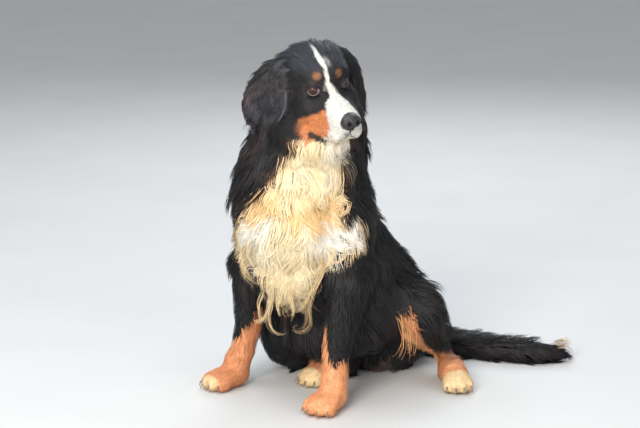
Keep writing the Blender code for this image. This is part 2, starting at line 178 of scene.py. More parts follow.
# %% [markdown]
# ## The skin, as one piece
#
# A dog's skin is one sheet over head, body and legs, so the parted solids would show seams. Copies
# of all the flesh solids are joined, their points merged, and a voxel remesh fuses them into one
# closed surface. It could be sculpted by hand, but a remesh keeps exactly the solids' shape.

# %% Join and fuse copies of the flesh
SIDES = ("left", "right")
FLESH = ["head", "neck", "trunk", "tail"] + [
    f"{part}_{side}"
    for part in ("ear", "foreleg", "hindleg", "paw_fore", "paw_hind")
    for side in SIDES
]
SKIN_VOXEL = 0.0046


def copy_of(nodes, name):
    """One mesh object from copies of CAD nodes, with its points merged."""
    made = bmesh.new()
    for node in nodes:
        made.from_mesh(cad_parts[node].data)
    bmesh.ops.remove_doubles(made, verts=made.verts, dist=1e-5)
    mesh = bpy.data.meshes.new(name)
    made.to_mesh(mesh)
    made.free()
    piece = bpy.data.objects.new(name, mesh)
    bpy.context.scene.collection.objects.link(piece)
    return piece


def take(piece):
    """Selects one object alone, so that an operator acts on nothing else."""
    bpy.ops.object.select_all(action="DESELECT")
    piece.select_set(True)
    bpy.context.view_layer.objects.active = piece


def apply(piece, kind, **settings):
    """Adds a modifier with these settings and applies it."""
    take(piece)
    modifier = piece.modifiers.new(kind.lower(), kind)
    for key, value in settings.items():
        setattr(modifier, key, value)
    bpy.ops.object.modifier_apply(modifier=modifier.name)


skin = copy_of(FLESH + ["eye_left", "eye_right", "nose"], "skin")
apply(skin, "REMESH", mode="VOXEL", voxel_size=SKIN_VOXEL, adaptivity=0.0)
apply(skin, "SMOOTH", factor=0.5, iterations=4)
print("skin:", len(skin.data.vertices), "points")

# %% [markdown]
# ## Which part of the dog each point of skin belongs to
#
# The coat differs from part to part, so each point of skin looks for the nearest solid. These
# labels are then blurred along the skin, so that one kind of coat runs softly into the next.


# %% Label the skin and blur the labels
def points_of(mesh):
    """A mesh's points in the drawing's frame."""
    flat = np.empty(len(mesh.vertices) * 3)
    mesh.vertices.foreach_get("co", flat)
    return flat.reshape(-1, 3) + BODY_SHIFT


def set_points(mesh, points):
    """Moves a mesh's points to places in the drawing's frame."""
    mesh.vertices.foreach_set("co", (points - BODY_SHIFT).ravel())
    mesh.update()


def edges_of(mesh):
    """Pairs of joined points."""
    flat = np.empty(len(mesh.edges) * 2, np.int64)
    mesh.edges.foreach_get("vertices", flat)
    return flat.reshape(-1, 2)


def blurred(values, pairs, times):
    """Each value drawn towards the mean of its neighbours, some times over."""
    values = np.array(values, float)
    columns = values.reshape(len(values), -1)
    count = np.bincount(pairs.ravel(), minlength=len(values))
    for _ in range(times):
        for k in range(columns.shape[1]):
            column = columns[:, k]
            total = np.bincount(pairs[:, 0], column[pairs[:, 1]], len(values))
            total += np.bincount(pairs[:, 1], column[pairs[:, 0]], len(values))
            columns[:, k] = 0.5 * column + 0.5 * total / np.maximum(count, 1)
    return columns.reshape(values.shape)


def samples_of(node, spacing=0.006):
    """Points spread over a CAD node's faces."""
    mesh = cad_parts[node].data
    mesh.calc_loop_triangles()
    corners = np.array([t.vertices[:] for t in mesh.loop_triangles])
    places = points_of(mesh)[corners]
    area = np.linalg.norm(
        np.cross(places[:, 1] - places[:, 0], places[:, 2] - places[:, 0]), axis=1
    )
    draw = np.random.default_rng(5)
    face = np.repeat(np.arange(len(area)), np.ceil(area / spacing**2).astype(int))
    a, b = draw.random((2, len(face)))
    a, b = np.where(a + b > 1, 1 - a, a), np.where(a + b > 1, 1 - b, b)
    first, second, third = (places[face, k] for k in range(3))
    return first + a[:, None] * (second - first) + b[:, None] * (third - first)


found = [samples_of(node) for node in FLESH]
sample_node = np.repeat(np.arange(len(FLESH)), [len(s) for s in found])
tree_of_samples = KDTree(len(sample_node))
for index, place in enumerate(np.concatenate(found)):
    tree_of_samples.insert(place, index)
tree_of_samples.balance()


def parts_at(points):
    """For each point, the number in FLESH of the nearest solid."""
    return np.array([sample_node[tree_of_samples.find(p)[1]] for p in points])


skin_points = points_of(skin.data)
skin_pairs = edges_of(skin.data)
nearest_part = parts_at(skin_points)
part_share = {
    node: blurred(nearest_part == k, skin_pairs, 6) for k, node in enumerate(FLESH)
}
print("parts:", {n: int((nearest_part == k).sum()) for k, n in enumerate(FLESH)})

# %% [markdown]
# ## How deep the coat is
#
# The solids reach out to the tips of the coat, so the skin lies inside them. The depth is a few
# millimetres on the muzzle and paws and some centimetres on the ruff and tail. Each point moves
# in along its own normal by the blurred depth, which keeps thin places such as ears closed.

# %% Draw the skin in by the coat's depth
DEPTH = {
    "head": 0.008,
    "neck": 0.024,
    "trunk": 0.022,
    "tail": 0.024,
    "ear": 0.0035,
    "foreleg": 0.007,
    "hindleg": 0.012,
    "paw_fore": 0.0025,
    "paw_hind": 0.0025,
}


def kind_of(node):
    """A node's name without its side."""
    return node.rsplit("_", 1)[0] if node.endswith(SIDES) else node


def normals_of(mesh):
    """A mesh's point normals."""
    flat = np.empty(len(mesh.vertices) * 3)
    mesh.vertices.foreach_get("normal", flat)
    return flat.reshape(-1, 3)


depth = sum(part_share[node] * DEPTH[kind_of(node)] for node in FLESH)
seen_from_head = in_head(skin_points)
on_face = part_share["head"] * fade(seen_from_head[:, 0], 0.000, 0.070)
depth = depth * (1 - on_face) + 0.0028 * on_face
ear_root = np.linalg.norm(seen_from_head - (0.040, 0.062, 0.018), axis=1)
depth *= 1 - 0.9 * np.exp(-((ear_root / 0.030) ** 2))  # no daylight between the brow and the ear
near_floor = 1 - fade(skin_points[:, 2], 0.0, 0.06)
depth = blurred(depth * (1 - 0.75 * near_floor), skin_pairs, 12)
drawn_in = skin_points - normals_of(skin.data) * depth[:, None]
set_points(skin.data, blurred(drawn_in, skin_pairs, 3))
knee = part_share["hindleg_left"] * fade(skin_points[:, 2], 0.10, 0.15) * fade(0.30 - skin_points[:, 2], 0.0, 0.05)
knee = blurred(knee, skin_pairs, 10)[:, None]
smooth = blurred(points_of(skin.data), skin_pairs, 110)
set_points(skin.data, points_of(skin.data) * (1 - knee) + smooth * knee)
print("depth of coat, mm:", (depth.min() * 1000).round(1), (depth.max() * 1000).round(1))

# %% [markdown]
# ## Eye openings in the skin
#
# Round each eye the skin is cut finer, so that lids can be formed in it. Inside the almond
# of the opening the skin goes back behind the eyeball, and round it the skin lies as a thin lid
# on the ball. Modelling the lids in the skin itself leaves no seam round the eye.

# %% Form the lids
EYE_RADIUS = 0.0125
OPENING = (1.12, 0.80)  # half width and height of the opening, in radians
eyes = {}
for side, sign in (("left", 1), ("right", -1)):
    centre = from_head([0.058, 0.036 * sign, 0.009])
    outward = head_turn @ unit(np.array((0.80, 0.58 * sign, 0.10)))
    across = unit(np.cross(outward, head_turn @ np.array((0, 0, -1.0))) * sign)
    upward = unit(np.cross(across, outward) * sign)
    upward *= np.sign(upward @ head_turn[:, 2])
    eyes[side] = (centre, outward, across, upward)


def on_eye(points, side):
    """(distance from the eyeball's centre, share of the way to the opening's edge, angles)."""
    centre, outward, across, upward = eyes[side]
    away = points - centre
    distance = np.linalg.norm(away, axis=1)
    tilt = np.arccos(np.clip((away @ outward) / np.maximum(distance, 1e-9), -1, 1))
    turn = np.arctan2(away @ upward, away @ across)
    wide, high = tilt * np.cos(turn), tilt * np.sin(turn)
    share = np.sqrt((wide / OPENING[0]) ** 2 + (high / OPENING[1]) ** 2 * 1.0)
    return distance, share, turn


work = bmesh.new()
work.from_mesh(skin.data)
for _ in range(2):
    places = np.array([v.co for v in work.verts]) + BODY_SHIFT
    near = np.zeros(len(places), bool)
    for side in SIDES:
        near |= np.linalg.norm(places - eyes[side][0], axis=1) < 0.026
    work.verts.index_update()
    cut = [e for e in work.edges if near[e.verts[0].index] and near[e.verts[1].index]]
    bmesh.ops.subdivide_edges(work, edges=cut, cuts=1, use_grid_fill=True)
bmesh.ops.triangulate(work, faces=[f for f in work.faces if len(f.verts) > 4])
work.to_mesh(skin.data)
work.free()

skin_points = points_of(skin.data)
for side in SIDES:
    centre = eyes[side][0]
    distance, share, _ = on_eye(skin_points, side)
    close = distance < 0.032
    away = unit(skin_points - centre)
    behind = close & (share < 1.0)
    lid = EYE_RADIUS + 0.0014 + 0.0010 * fade(share, 1.0, 1.5)
    mix = 1 - fade(share, 1.2, 2.3)
    target = distance * (1 - mix) + lid * mix
    target = np.where(behind, EYE_RADIUS * 0.72, np.maximum(target, lid))
    moved = centre + away * target[:, None]
    front = ((skin_points - centre) @ eyes[side][1]) > -0.004
    skin_points = np.where((close & front & (share < 2.3))[:, None], moved, skin_points)
set_points(skin.data, skin_points)
print("skin with lids:", len(skin_points), "points")

# %% [markdown]
# ## Markings
#
# A Bernese is black with a white blaze and muzzle, a cream bib, and rust on cheeks, brows and
# legs. One function gives the colour for any place on the dog, from a few named edges measured in
# the head's or the body's frame, so that skin and coat always carry the same markings.
# It also paints some light and shade: a bluish sky reflection on the crown, a sheen and a lit rim on the right ear, a
# shadow in front of that ear, and a darker tail.

# %% Colour by place
BLACK = np.array((0.0135, 0.0130, 0.0142))
BROWN_TINT = np.array((0.060, 0.034, 0.026))
RUST = np.array((0.640, 0.225, 0.085))
LEG_RUST = np.array((0.860, 0.365, 0.170))
CREAM = np.array((0.840, 0.680, 0.415))
GOLD = np.array((0.780, 0.480, 0.210))
WHITE = np.array((0.900, 0.880, 0.810))
TOE_CREAM = np.array((0.820, 0.600, 0.330))
BROW_RUST = np.array((0.270, 0.120, 0.057))
EYE_SKIN = np.array((0.155, 0.112, 0.114))
BELLY_PINK = np.array((0.260, 0.185, 0.180))

BLAZE_RIGHT = (  # (place down the face, place across it) of the blaze's edge towards the dog's right
    (-0.085, -0.0068), (-0.0716, -0.0092), (-0.030, -0.0154), (0.003, -0.0133), (0.028, -0.0121), (0.051, -0.0135),
    (0.063, -0.0115), (0.078, -0.0110), (0.0886, -0.0135), (0.097, -0.0208), (0.108, -0.0315), (0.120, -0.0371),
    (0.133, -0.0450), (0.145, -0.0700),
)
BLAZE_LEFT = (
    (-0.085, -0.0060), (-0.0765, -0.0040), (-0.0446, -0.0018), (-0.019, -0.0022), (0.0094, -0.0032), (0.0305, -0.0046),
    (0.0492, -0.0027), (0.0652, 0.0060), (0.0952, 0.0105), (0.114, 0.0148), (0.140, 0.0160), (0.160, 0.0224),
    (0.176, 0.0300), (0.190, 0.0700),
)
BIB_RIGHT = (  # (height, place across the chest) of the bib's edge towards the dog's right
    (0.199, -0.082), (0.229, -0.101), (0.252, -0.130), (0.276, -0.148), (0.298, -0.166), (0.303, -0.187),
    (0.326, -0.206), (0.345, -0.213), (0.385, -0.210), (0.412, -0.198), (0.446, -0.179), (0.475, -0.154),
    (0.499, -0.134), (0.532, -0.110), (0.559, -0.094), (0.570, -0.087), (0.585, -0.077), (0.605, -0.068),
)
BIB_LEFT = (
    (0.199, -0.078), (0.213, -0.060), (0.232, -0.051), (0.266, -0.033), (0.300, -0.024), (0.319, -0.011),
    (0.334, 0.002), (0.351, 0.037), (0.363, 0.070), (0.378, 0.078), (0.393, 0.076), (0.408, 0.069),
    (0.419, 0.055), (0.429, 0.030), (0.439, 0.012), (0.448, 0.018), (0.458, 0.030), (0.477, 0.032),
    (0.509, 0.029), (0.544, 0.028), (0.566, 0.030), (0.595, 0.030), (0.610, 0.028),
)
EAR_EDGE = np.array(  # the front edge of the right ear, in the head's frame
    ((-0.015, -0.068, 0.056), (0.000, -0.071, 0.040), (0.009, -0.074, 0.020), (0.015, -0.077, 0.000),
     (0.020, -0.080, -0.021), (0.025, -0.087, -0.042), (0.027, -0.098, -0.057), (0.023, -0.108, -0.073))
)
FEET = {
    "fore_left": ((0.136, -0.200), 3),
    "fore_right": ((-0.157, -0.180), -16),
    "hind_left": ((0.275, 0.112), 42),
    "hind_right": ((0.000, -0.030), -10),
}


def along_foot(points, foot):
    """How far points lie from a paw's middle towards its toes."""
    (x, y), turn = FEET[foot]
    toes = np.array((math.sin(math.radians(turn)), -math.cos(math.radians(turn))))
    return (points[:, :2] - (x, y)) @ toes


def over_chest(points):
    """How far points lie across the chest, on a slanting line from its right to its left side."""
    return 0.817 * points[:, 0] + 0.576 * points[:, 1]


def laid(colour, over, share):
    """A colour laid over others by a share from 0 to 1."""
    return over + (colour - over) * np.clip(share, 0, 1)[:, None]


def spot(points, paint, places, size, colour, strength=1.0, soft=0.002):
    """A soft spot, or a band from place to place, laid over the colour."""
    line = np.array(places, float).reshape(-1, 3)
    away = np.full(len(points), 9.0)
    for start, end in zip(line, np.roll(line, -1, 0)[: max(len(line) - 1, 1)]):
        step = end - start
        share = np.clip(((points - start) @ step) / max(step @ step, 1e-9), 0, 1)
        away = np.minimum(away, np.linalg.norm(points - start - share[:, None] * step, axis=1))
    return laid(paint, colour, strength * fade(size - away, -soft, soft))


def face_markings(points, colour):
    """The head's colours: blaze, muzzle, cheeks, brows and the dark lip corner."""
    place = in_head(points)
    x, y, z = place.T
    rag = 0.0022 * wander(points, 0.016, 11) + 0.0012 * wander(points, 0.006, 12)
    side = np.abs(y + 0.003)
    top = np.interp(x, (0.058, 0.070, 0.080, 0.091, 0.096, 0.099, 0.102), (-0.0545, -0.0459, -0.0400, -0.0336, -0.0290, -0.0245, -0.0200))
    top = top - 0.016 * (y > 0)
    back = np.interp(-z, (0.050, 0.066, 0.083, 0.092, 0.106), (0.060, 0.063, 0.073, 0.079, 0.086))
    back = back + 0.012 * (y > 0)
    cheek = fade(top - z + 0.6 * rag, -0.006, 0.005) * fade(x - back + 0.9 * rag, -0.008, 0.006)
    cheek *= fade(x, 0.03, 0.06) * (1 - fade(-z, 0.086, 0.094) * fade(x, 0.088, 0.098)) * fade(0.108 + z, -0.004, 0.004)
    throat_back = np.interp(side, (0.048, 0.064), (0.018, 0.074))
    throat = fade(-z, 0.088, 0.098) * fade(x - throat_back + rag, -0.005, 0.005) * fade(0.014 - y + rag, -0.006, 0.006)
    colour = laid(CREAM, colour, throat)
    rust = laid(0.72 * RUST, np.tile(RUST, (len(x), 1)), fade(wander(points, 0.02, 41), 0.1, 1.0))
    colour = colour + (rust - colour) * cheek[:, None]
    along = x - z
    right = np.interp(along, *np.transpose(BLAZE_RIGHT))
    left = np.interp(along, *np.transpose(BLAZE_LEFT))
    blaze = fade(y - right + rag, -0.0020, 0.0020) * fade(left - y + rag, -0.0020, 0.0020)
    blaze *= fade(along, -0.088, -0.070) * fade(x, -0.02, 0.0)
    flank = np.interp(-z, (0.0, 0.019, 0.027, 0.038, 0.053, 0.069, 0.090), (0.098, 0.108, 0.118, 0.125, 0.131, 0.133, 0.128))
    flank = fade(x - flank + 1.5 * rag, -0.004, 0.004)
    blaze *= 1 + (flank - 1) * fade(side, 0.020, 0.028)
    chin = fade(x, 0.100, 0.108) * fade(-z, 0.070, 0.082) * fade(0.037 - side, -0.003, 0.003)
    chin *= fade(np.interp(x, (0.125, 0.145), (0.012, 0.040)) - y, -0.005, 0.005)
    lips = fade(-z, 0.058, 0.080)
    colour = colour + (WHITE * (0.88 - 0.12 * fade(along, 0.05, 0.11))[:, None] - colour) * blaze[:, None]
    # The chin and the lower lips are laid cream-white: partly the hair's own colour, partly painted shade under the
    # muzzle.
    colour = laid(0.5 * (CREAM + WHITE), colour, np.maximum(chin, 0.6 * blaze * lips))
    dark = BLACK * 1.6
    colour = spot(place, BROW_RUST, (0.0632, -0.0300, 0.0412), 0.0096, colour, 1.0, 0.0034)
    colour = spot(place, BROW_RUST, (0.0672, 0.0228, 0.0392), 0.0104, colour, 1.0, 0.0034)
    for sign in (1, -1):
        corner = np.array(((0.0879, 0.0575, -0.0807), (0.0980, 0.0520, -0.0845), (0.1060, 0.0431, -0.0895), (0.1040, 0.0370, -0.0960)))
        colour = spot(place + 0.8 * rag[:, None], dark * 1.3, corner * (1, sign, 1), 0.0088, colour, 0.95, 0.0035)
    colour = spot(place, WHITE, ((0.038, 0.002, 0.069), (0.056, 0.004, 0.0610)), 0.0052, colour, 0.34, 0.0050)
    for side, sign in (("left", 1), ("right", -1)):
        away, share, _ = on_eye(points, side)
        ring = np.exp(-(((share - 1.50) / 0.22) ** 2)) * (away < 0.024)
        colour = laid(0.55 * EYE_SKIN, colour, ring * (0.10 if side == "left" else 0.28))
        inner = ((0.0700, 0.0300 * sign, 0.0105), (0.0715, 0.0285 * sign, 0.0060))
        colour = spot(place, 1.1 * EYE_SKIN, inner, 0.0030, colour, 0.7 if sign < 0 else 0.2, 0.0020)
        colour = spot(place, 0.7 * EYE_SKIN, (0.0545, 0.0500 * sign, 0.0090), 0.0026, colour, 0.5 if sign < 0 else 0.2, 0.0020)
    colour = spot(place, dark * 3, (0.1550, -0.0080, -0.0620), 0.0050, colour, 0.75, 0.0030)
    nose_away = np.linalg.norm((place - (0.160, 0.0, -0.031)) / (0.016, 0.021, 0.019), axis=1)
    return laid(BLACK, colour, fade(1.14 - nose_away, -0.05, 0.05))


def leg_markings(points, colour, part):
    """Rust on the legs up to a slanting edge, and pale toes."""
    x, y, z = points.T
    rag = 0.007 * wander(points, 0.030, 13)
    edge = np.interp(x, (-0.190, -0.154, -0.130, -0.112, -0.105, -0.101), (0.088, 0.105, 0.125, 0.148, 0.170, 0.190))
    right = part["foreleg_right"] + part["paw_fore_right"]
    right *= fade(np.interp(z, (0.0, 0.12, 0.29), (-0.135, -0.087, -0.057)) - y, 0.0, 0.02)
    # The right foreleg's rust is painted a little darker, as shade on the side turned from the light.
    colour = laid(LEG_RUST * (0.84, 0.80, 0.78), colour, right * fade(edge - z + rag, -0.006, 0.008))
    edge = np.interp(
        x,
        (0.100, 0.115, 0.122, 0.130, 0.146, 0.152, 0.158, 0.166, 0.175),
        (0.190, 0.175, 0.150, 0.118, 0.092, 0.102, 0.109, 0.096, 0.088),
    )
    edge = edge - fade(y, -0.172, -0.150) * np.maximum(edge - 0.098, 0)
    left = part["foreleg_left"] + part["paw_fore_left"]
    left *= fade(-0.100 - y, 0.0, 0.02)
    colour = laid(LEG_RUST, colour, left * fade(edge - z + 0.5 * rag, -0.005, 0.006))
    slant = over_chest(points)  # the stripe on the left hind leg runs slantwise over the shin
    inner = np.interp(z, (0.040, 0.055, 0.064, 0.090, 0.118, 0.161, 0.187), (0.238, 0.226, 0.212, 0.186, 0.172, 0.165, 0.169))
    outer = np.interp(z, (0.040, 0.062, 0.095, 0.123, 0.157, 0.174, 0.191), (0.262, 0.235, 0.218, 0.210, 0.204, 0.197, 0.186))
    stripe = fade(slant - inner + rag, -0.005, 0.006) * fade(outer - slant + 0.6 * rag, -0.004, 0.005)
    stripe *= fade(0.174 - z + rag, -0.006, 0.006) * fade(0.200 - y, 0.0, 0.02)
    golden = laid(1.25 * GOLD, np.tile(1.12 * LEG_RUST, (len(x), 1)), 0.55 * fade(0.02 - slant + inner, 0.0, 0.02))
    stripe *= np.clip(part["hindleg_left"] + part["trunk"], 0, 1) * (y > -0.03)
    colour = colour + (golden - colour) * stripe[:, None]
    for foot in FEET:
        on_paw = part["paw_" + foot]
        if "hind" in foot:
            near = np.clip(on_paw + part["hindleg" + foot[4:]] * fade(0.068 - z, 0.0, 0.014), 0, 1)
            near *= fade(0.125 - np.hypot(x - FEET[foot][0][0], y - FEET[foot][0][1]), 0.0, 0.02) if foot == "hind_left" else fade(0.085 - np.hypot(x, y + 0.03), 0.0, 0.02)
            reach_back = -0.100 if foot == "hind_left" else -0.040
            near *= fade(along_foot(points, foot), reach_back, reach_back + 0.025)
            colour = laid(0.85 * LEG_RUST, colour, near)
        if foot != "fore_left":
            reach = along_foot(points, foot)
            start = {"hind_left": 0.010, "hind_right": 0.026, "fore_right": 0.044}[foot]
            colour = laid(TOE_CREAM, colour, 0.95 * on_paw * fade(reach + 0.5 * rag, start, start + 0.010))
    return colour


def markings(points, part):
    """The coat's colour at points, with the share of each part of the dog there, and some painted light and shade."""
    x, y, z = points.T
    tint = 0.35 * fade(wander(points, 0.11, 14), 0.1, 1.0)
    tint *= 0.25 + part["neck"] + 0.5 * part["ear_right"] + 0.5 * part["hindleg_left"]
    colour = laid(BROWN_TINT, np.tile(BLACK, (len(points), 1)), tint)
    rag = 0.006 * wander(points, 0.045, 15) + 0.005 * wander(points, 0.015, 16)
    right = np.interp(z, *np.transpose(BIB_RIGHT))
    left = np.interp(z, *np.transpose(BIB_LEFT))
    slant = over_chest(points)
    inside = np.minimum(slant - right, left - slant)
    ahead = fade(-y - np.interp(x, (-0.10, -0.04), (0.150, 0.075)), -0.015, 0.015)  # not on the sides
    bib = fade(inside + rag, -0.006, 0.006) * ahead
    bib *= fade(z + rag, 0.200, 0.216) * fade(0.630 - z, 0.0, 0.02) * (1 - part["head"])
    white = np.exp(-(((x + 0.024) / 0.046) ** 2) - ((z - 0.393) / 0.034) ** 2)
    white += 1.5 * np.exp(-(((x - 0.138) / 0.032) ** 2) - ((z - 0.390) / 0.030) ** 2)
    white += 0.45 * fade(wander(points, 0.05, 17), 0.2, 1.0)
    pale = laid(WHITE, np.tile(CREAM, (len(points), 1)), white)
    stain = 1.8 * np.exp(-(((x - 0.112) / 0.026) ** 2) - ((z - 0.448) / 0.020) ** 2)
    stain += 1.5 * np.exp(-(((x - 0.085) / 0.030) ** 2) - ((z - 0.424) / 0.018) ** 2)
    stain += 1.1 * np.exp(-(((x - 0.027) / 0.028) ** 2) - ((z - 0.462) / 0.026) ** 2)
    stain += 0.9 * np.exp(-(((x + 0.010) / 0.030) ** 2) - ((z - 0.452) / 0.028) ** 2)
    stain += 1.1 * np.exp(-(((x - 0.163) / 0.010) ** 2) - ((z - 0.358) / 0.012) ** 2)
    stain += 0.5 * fade(inside, 0.016, 0.0) + 0.40 * fade(wander(points, 0.030, 18), 0.1, 1.0)
    pale = laid(GOLD, pale, 0.90 * np.clip(stain, 0, 1))
    rim = fade(inside + rag, -0.020, -0.004) * ahead
    rim *= fade(z, 0.30, 0.36) * (1 - part["head"]) * fade(0.64 - z, 0.0, 0.04)
    colour = laid(0.40 * RUST, colour, 0.50 * rim * fade(wander(points, 0.03, 19), -0.2, 0.8))
    colour = colour + (pale - colour) * bib[:, None]
    head_place = in_head(points)
    colour = spot(head_place, 0.20 * RUST + 0.02, (0.0640, -0.0980, -0.1080), 0.0135, colour, 0.45, 0.009)
    colour = spot(head_place, 0.22 * RUST + 0.015, (0.1100, 0.0300, -0.1120), 0.0110, colour, 0.50, 0.009)
    belly = fade(0.030 - z, 0.0, 0.012) * fade(0.040 - np.abs(x - 0.069), 0, 0.02)
    belly *= fade(0.045 - np.abs(y - 0.128), 0, 0.02) * part["trunk"]
    colour = laid(BELLY_PINK, colour, 0.6 * belly)
    # The tail is painted darker than the rest of the black coat, as shade on it.
    colour = laid(0.18 * BLACK + 0.07 * BROWN_TINT, colour, 0.95 * part["tail"])
    tip = fade(x + 0.5 * y, 0.612, 0.628) * part["tail"]
    colour = laid(TOE_CREAM * (0.36, 0.30, 0.28), colour, 0.8 * tip)
    colour = leg_markings(points, colour, part)
    on_head = np.clip(part["head"] + part["ear_left"] + part["ear_right"], 0, 1)[:, None]
    colour = colour + (face_markings(points, colour) - colour) * on_head
    # Painted reflection: dark hair on the crown is tinted bluish, as the sky's reflection on it.
    painted_sky_reflection = part["head"] * fade(head_place[:, 2], 0.030, 0.055) * fade(0.05 - colour.max(1), 0.0, 0.03)
    colour = colour * (1 + painted_sky_reflection[:, None] * (1.10, 1.40, 1.80))
    # Painted sheen: the right ear's hair is lightened to a pale bluish tone, less towards its top.
    painted_ear_sheen = part["ear_right"] * (0.9 + 0.5 * wander(points * (1, 1, 0.4), 0.020, 42)) * (1 - 0.8 * fade(head_place[:, 2], 0.0, 0.03))
    colour = colour * (1 + np.clip(painted_ear_sheen, 0, 2)[:, None] * (1.05, 1.12, 1.30))
    # Painted shadow: a dark band on the cheek just in front of the right ear's edge.
    colour = spot(head_place, BLACK * 0.25, EAR_EDGE + (0.0085, 0, 0), 0.0075, colour, 0.85, 0.0040)
    # Painted highlight: a pale lit rim along the right ear's front edge.
    return spot(head_place, BLACK * (7.0, 7.0, 7.4), EAR_EDGE - (0.0040, 0, 0), 0.0030, colour, 0.9, 0.0020)


# %% Label the finished skin and store its colours
take(skin)
bpy.ops.object.mode_set(mode="EDIT")
bpy.ops.mesh.select_all(action="SELECT")
bpy.ops.mesh.quads_convert_to_tris(quad_method="BEAUTY", ngon_method="BEAUTY")
bpy.ops.uv.smart_project(angle_limit=math.radians(66), island_margin=0.002)
bpy.ops.object.mode_set(mode="OBJECT")
skin.data.uv_layers.active.name = "OFBake"

skin_points = points_of(skin.data)
skin_normals = normals_of(skin.data)
skin_pairs = edges_of(skin.data)
nearest_part = parts_at(skin_points)
part_share = {
    node: blurred(nearest_part == k, skin_pairs, 8) for k, node in enumerate(FLESH)
}
skin_colour = markings(skin_points, part_share)


def store_colour(mesh, colour):
    """Keeps one colour for each point, as a named attribute."""
    layer = mesh.color_attributes.new("coat_colour", "FLOAT_COLOR", "POINT")
    full = np.ones((len(colour), 4), np.float32)
    full[:, :3] = np.clip(colour, 0, 1)
    layer.data.foreach_set("color", full.ravel())


# Painted shade: the skin under the hair is kept darker than the markings, less on the head and not under pale hair, as
# shade between the locks.
painted_shade_under_hair = np.maximum(0.65 + 0.27 * part_share["head"], fade(skin_colour[:, 1], 0.05, 0.40))
store_colour(skin.data, skin_colour * painted_shade_under_hair[:, None])
print("skin:", len(skin.data.polygons), "triangles")

# %% [markdown]
# ## Materials of skin and coat
#
# Hair is not one flat colour: each lock differs a little in tone, and light catches it along its
# length. A shared group of nodes gives a mottle and a fine streak from object coordinates. The
# coat and the skin mix it into the markings that each point carries.


# %% The shared mottle group and the fur finishes
def mottle_group():
    """A node group: colour in, colour with soft and fine variation out, and a height."""
    group = bpy.data.node_groups.new("hair_mottle", "ShaderNodeTree")
    face = group.interface
    face.new_socket("Colour", in_out="INPUT", socket_type="NodeSocketColor")
    face.new_socket("Scale", in_out="INPUT", socket_type="NodeSocketFloat")
    face.new_socket("Strength", in_out="INPUT", socket_type="NodeSocketFloat")
    face.new_socket("Colour", in_out="OUTPUT", socket_type="NodeSocketColor")
    face.new_socket("Roughness", in_out="OUTPUT", socket_type="NodeSocketFloat")
    face.new_socket("Height", in_out="OUTPUT", socket_type="NodeSocketFloat")
    entry = group.nodes.new("NodeGroupInput")
    leave = group.nodes.new("NodeGroupOutput")
    where = group.nodes.new("ShaderNodeTexCoord")
    noise = group.nodes.new("ShaderNodeTexNoise")
    noise.inputs["Detail"].default_value = 3.0
    group.links.new(where.outputs["Object"], noise.inputs["Vector"])
    group.links.new(entry.outputs["Scale"], noise.inputs["Scale"])
    spread = group.nodes.new("ShaderNodeMapRange")
    spread.inputs["From Min"].default_value = 0.3
    spread.inputs["From Max"].default_value = 0.7
    spread.inputs["To Min"].default_value = 0.62
    spread.inputs["To Max"].default_value = 1.30
    group.links.new(noise.outputs["Fac"], spread.inputs["Value"])
    times = group.nodes.new("ShaderNodeMix")
    times.data_type, times.blend_type = "RGBA", "MULTIPLY"
    group.links.new(entry.outputs["Strength"], times.inputs["Factor"])
    group.links.new(entry.outputs["Colour"], times.inputs["A"])
    group.links.new(spread.outputs["Result"], times.inputs["B"])
    group.links.new(times.outputs["Result"], leave.inputs["Colour"])
    dull = group.nodes.new("ShaderNodeMapRange")
    dull.inputs["To Min"].default_value = 0.42
    dull.inputs["To Max"].default_value = 0.72
    group.links.new(noise.outputs["Fac"], dull.inputs["Value"])
    group.links.new(dull.outputs["Result"], leave.inputs["Roughness"])
    group.links.new(noise.outputs["Fac"], leave.inputs["Height"])
    return group


mottle = mottle_group()


def fur_finish(name, scale, strength, bump, shine):
    """A hair material that reads each point's own colour."""
    material, tree, shader = finish(name)
    colour = tree.nodes.new("ShaderNodeAttribute")
    colour.attribute_name = "coat_colour"
    group = tree.nodes.new("ShaderNodeGroup")
    group.node_tree = mottle
    group.inputs["Scale"].default_value = scale
    group.inputs["Strength"].default_value = strength
    tree.links.new(colour.outputs["Color"], group.inputs["Colour"])
    tree.links.new(group.outputs["Colour"], shader.inputs["Base Color"])
    tree.links.new(group.outputs["Roughness"], shader.inputs["Roughness"])
    if bump:
        raised = tree.nodes.new("ShaderNodeBump")
        raised.inputs["Strength"].default_value = bump
        raised.inputs["Distance"].default_value = 0.002
        tree.links.new(group.outputs["Height"], raised.inputs["Height"])
        tree.links.new(raised.outputs["Normal"], shader.inputs["Normal"])
    shader.inputs["Specular IOR Level"].default_value = shine
    return material


skin_finish = fur_finish("short_undercoat", 240.0, 0.7, 0.5, 0.15)
long_hair = fur_finish("long_hair", 160.0, 0.40, 0.0, 0.38)
pale_hair = fur_finish("pale_hair", 60.0, 0.15, 0.0, 0.25)
short_hair = fur_finish("short_hair", 320.0, 0.35, 0.0, 0.32)
skin.data.materials.append(skin_finish)
for polygon_set in (skin.data,):
    polygon_set.polygons.foreach_set("use_smooth", np.ones(len(polygon_set.polygons), bool))
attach(skin, "root")
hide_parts(*FLESH)
print("skin finished")

# %% [markdown]
# ## The lie of the coat
#
# Hair grows back from the nose, down the ears and neck, down and back over the body, and along
# legs and tail to their ends. Each part of the dog has its own rule for the direction, and the
# blurred labels mix them. The same is done for the length, width and waves of the locks.

# %% Directions, from the parts' own middle lines
EAR_LINE = {
    "left": ((-0.024, 0.056, 0.040), (-0.034, 0.096, 0.046), (-0.038, 0.128, -0.020), (-0.022, 0.129, -0.118)),
    "right": ((-0.020, 0.052, 0.048), (-0.024, 0.084, 0.043), (-0.030, 0.122, -0.020), (-0.016, 0.108, -0.118)),
}


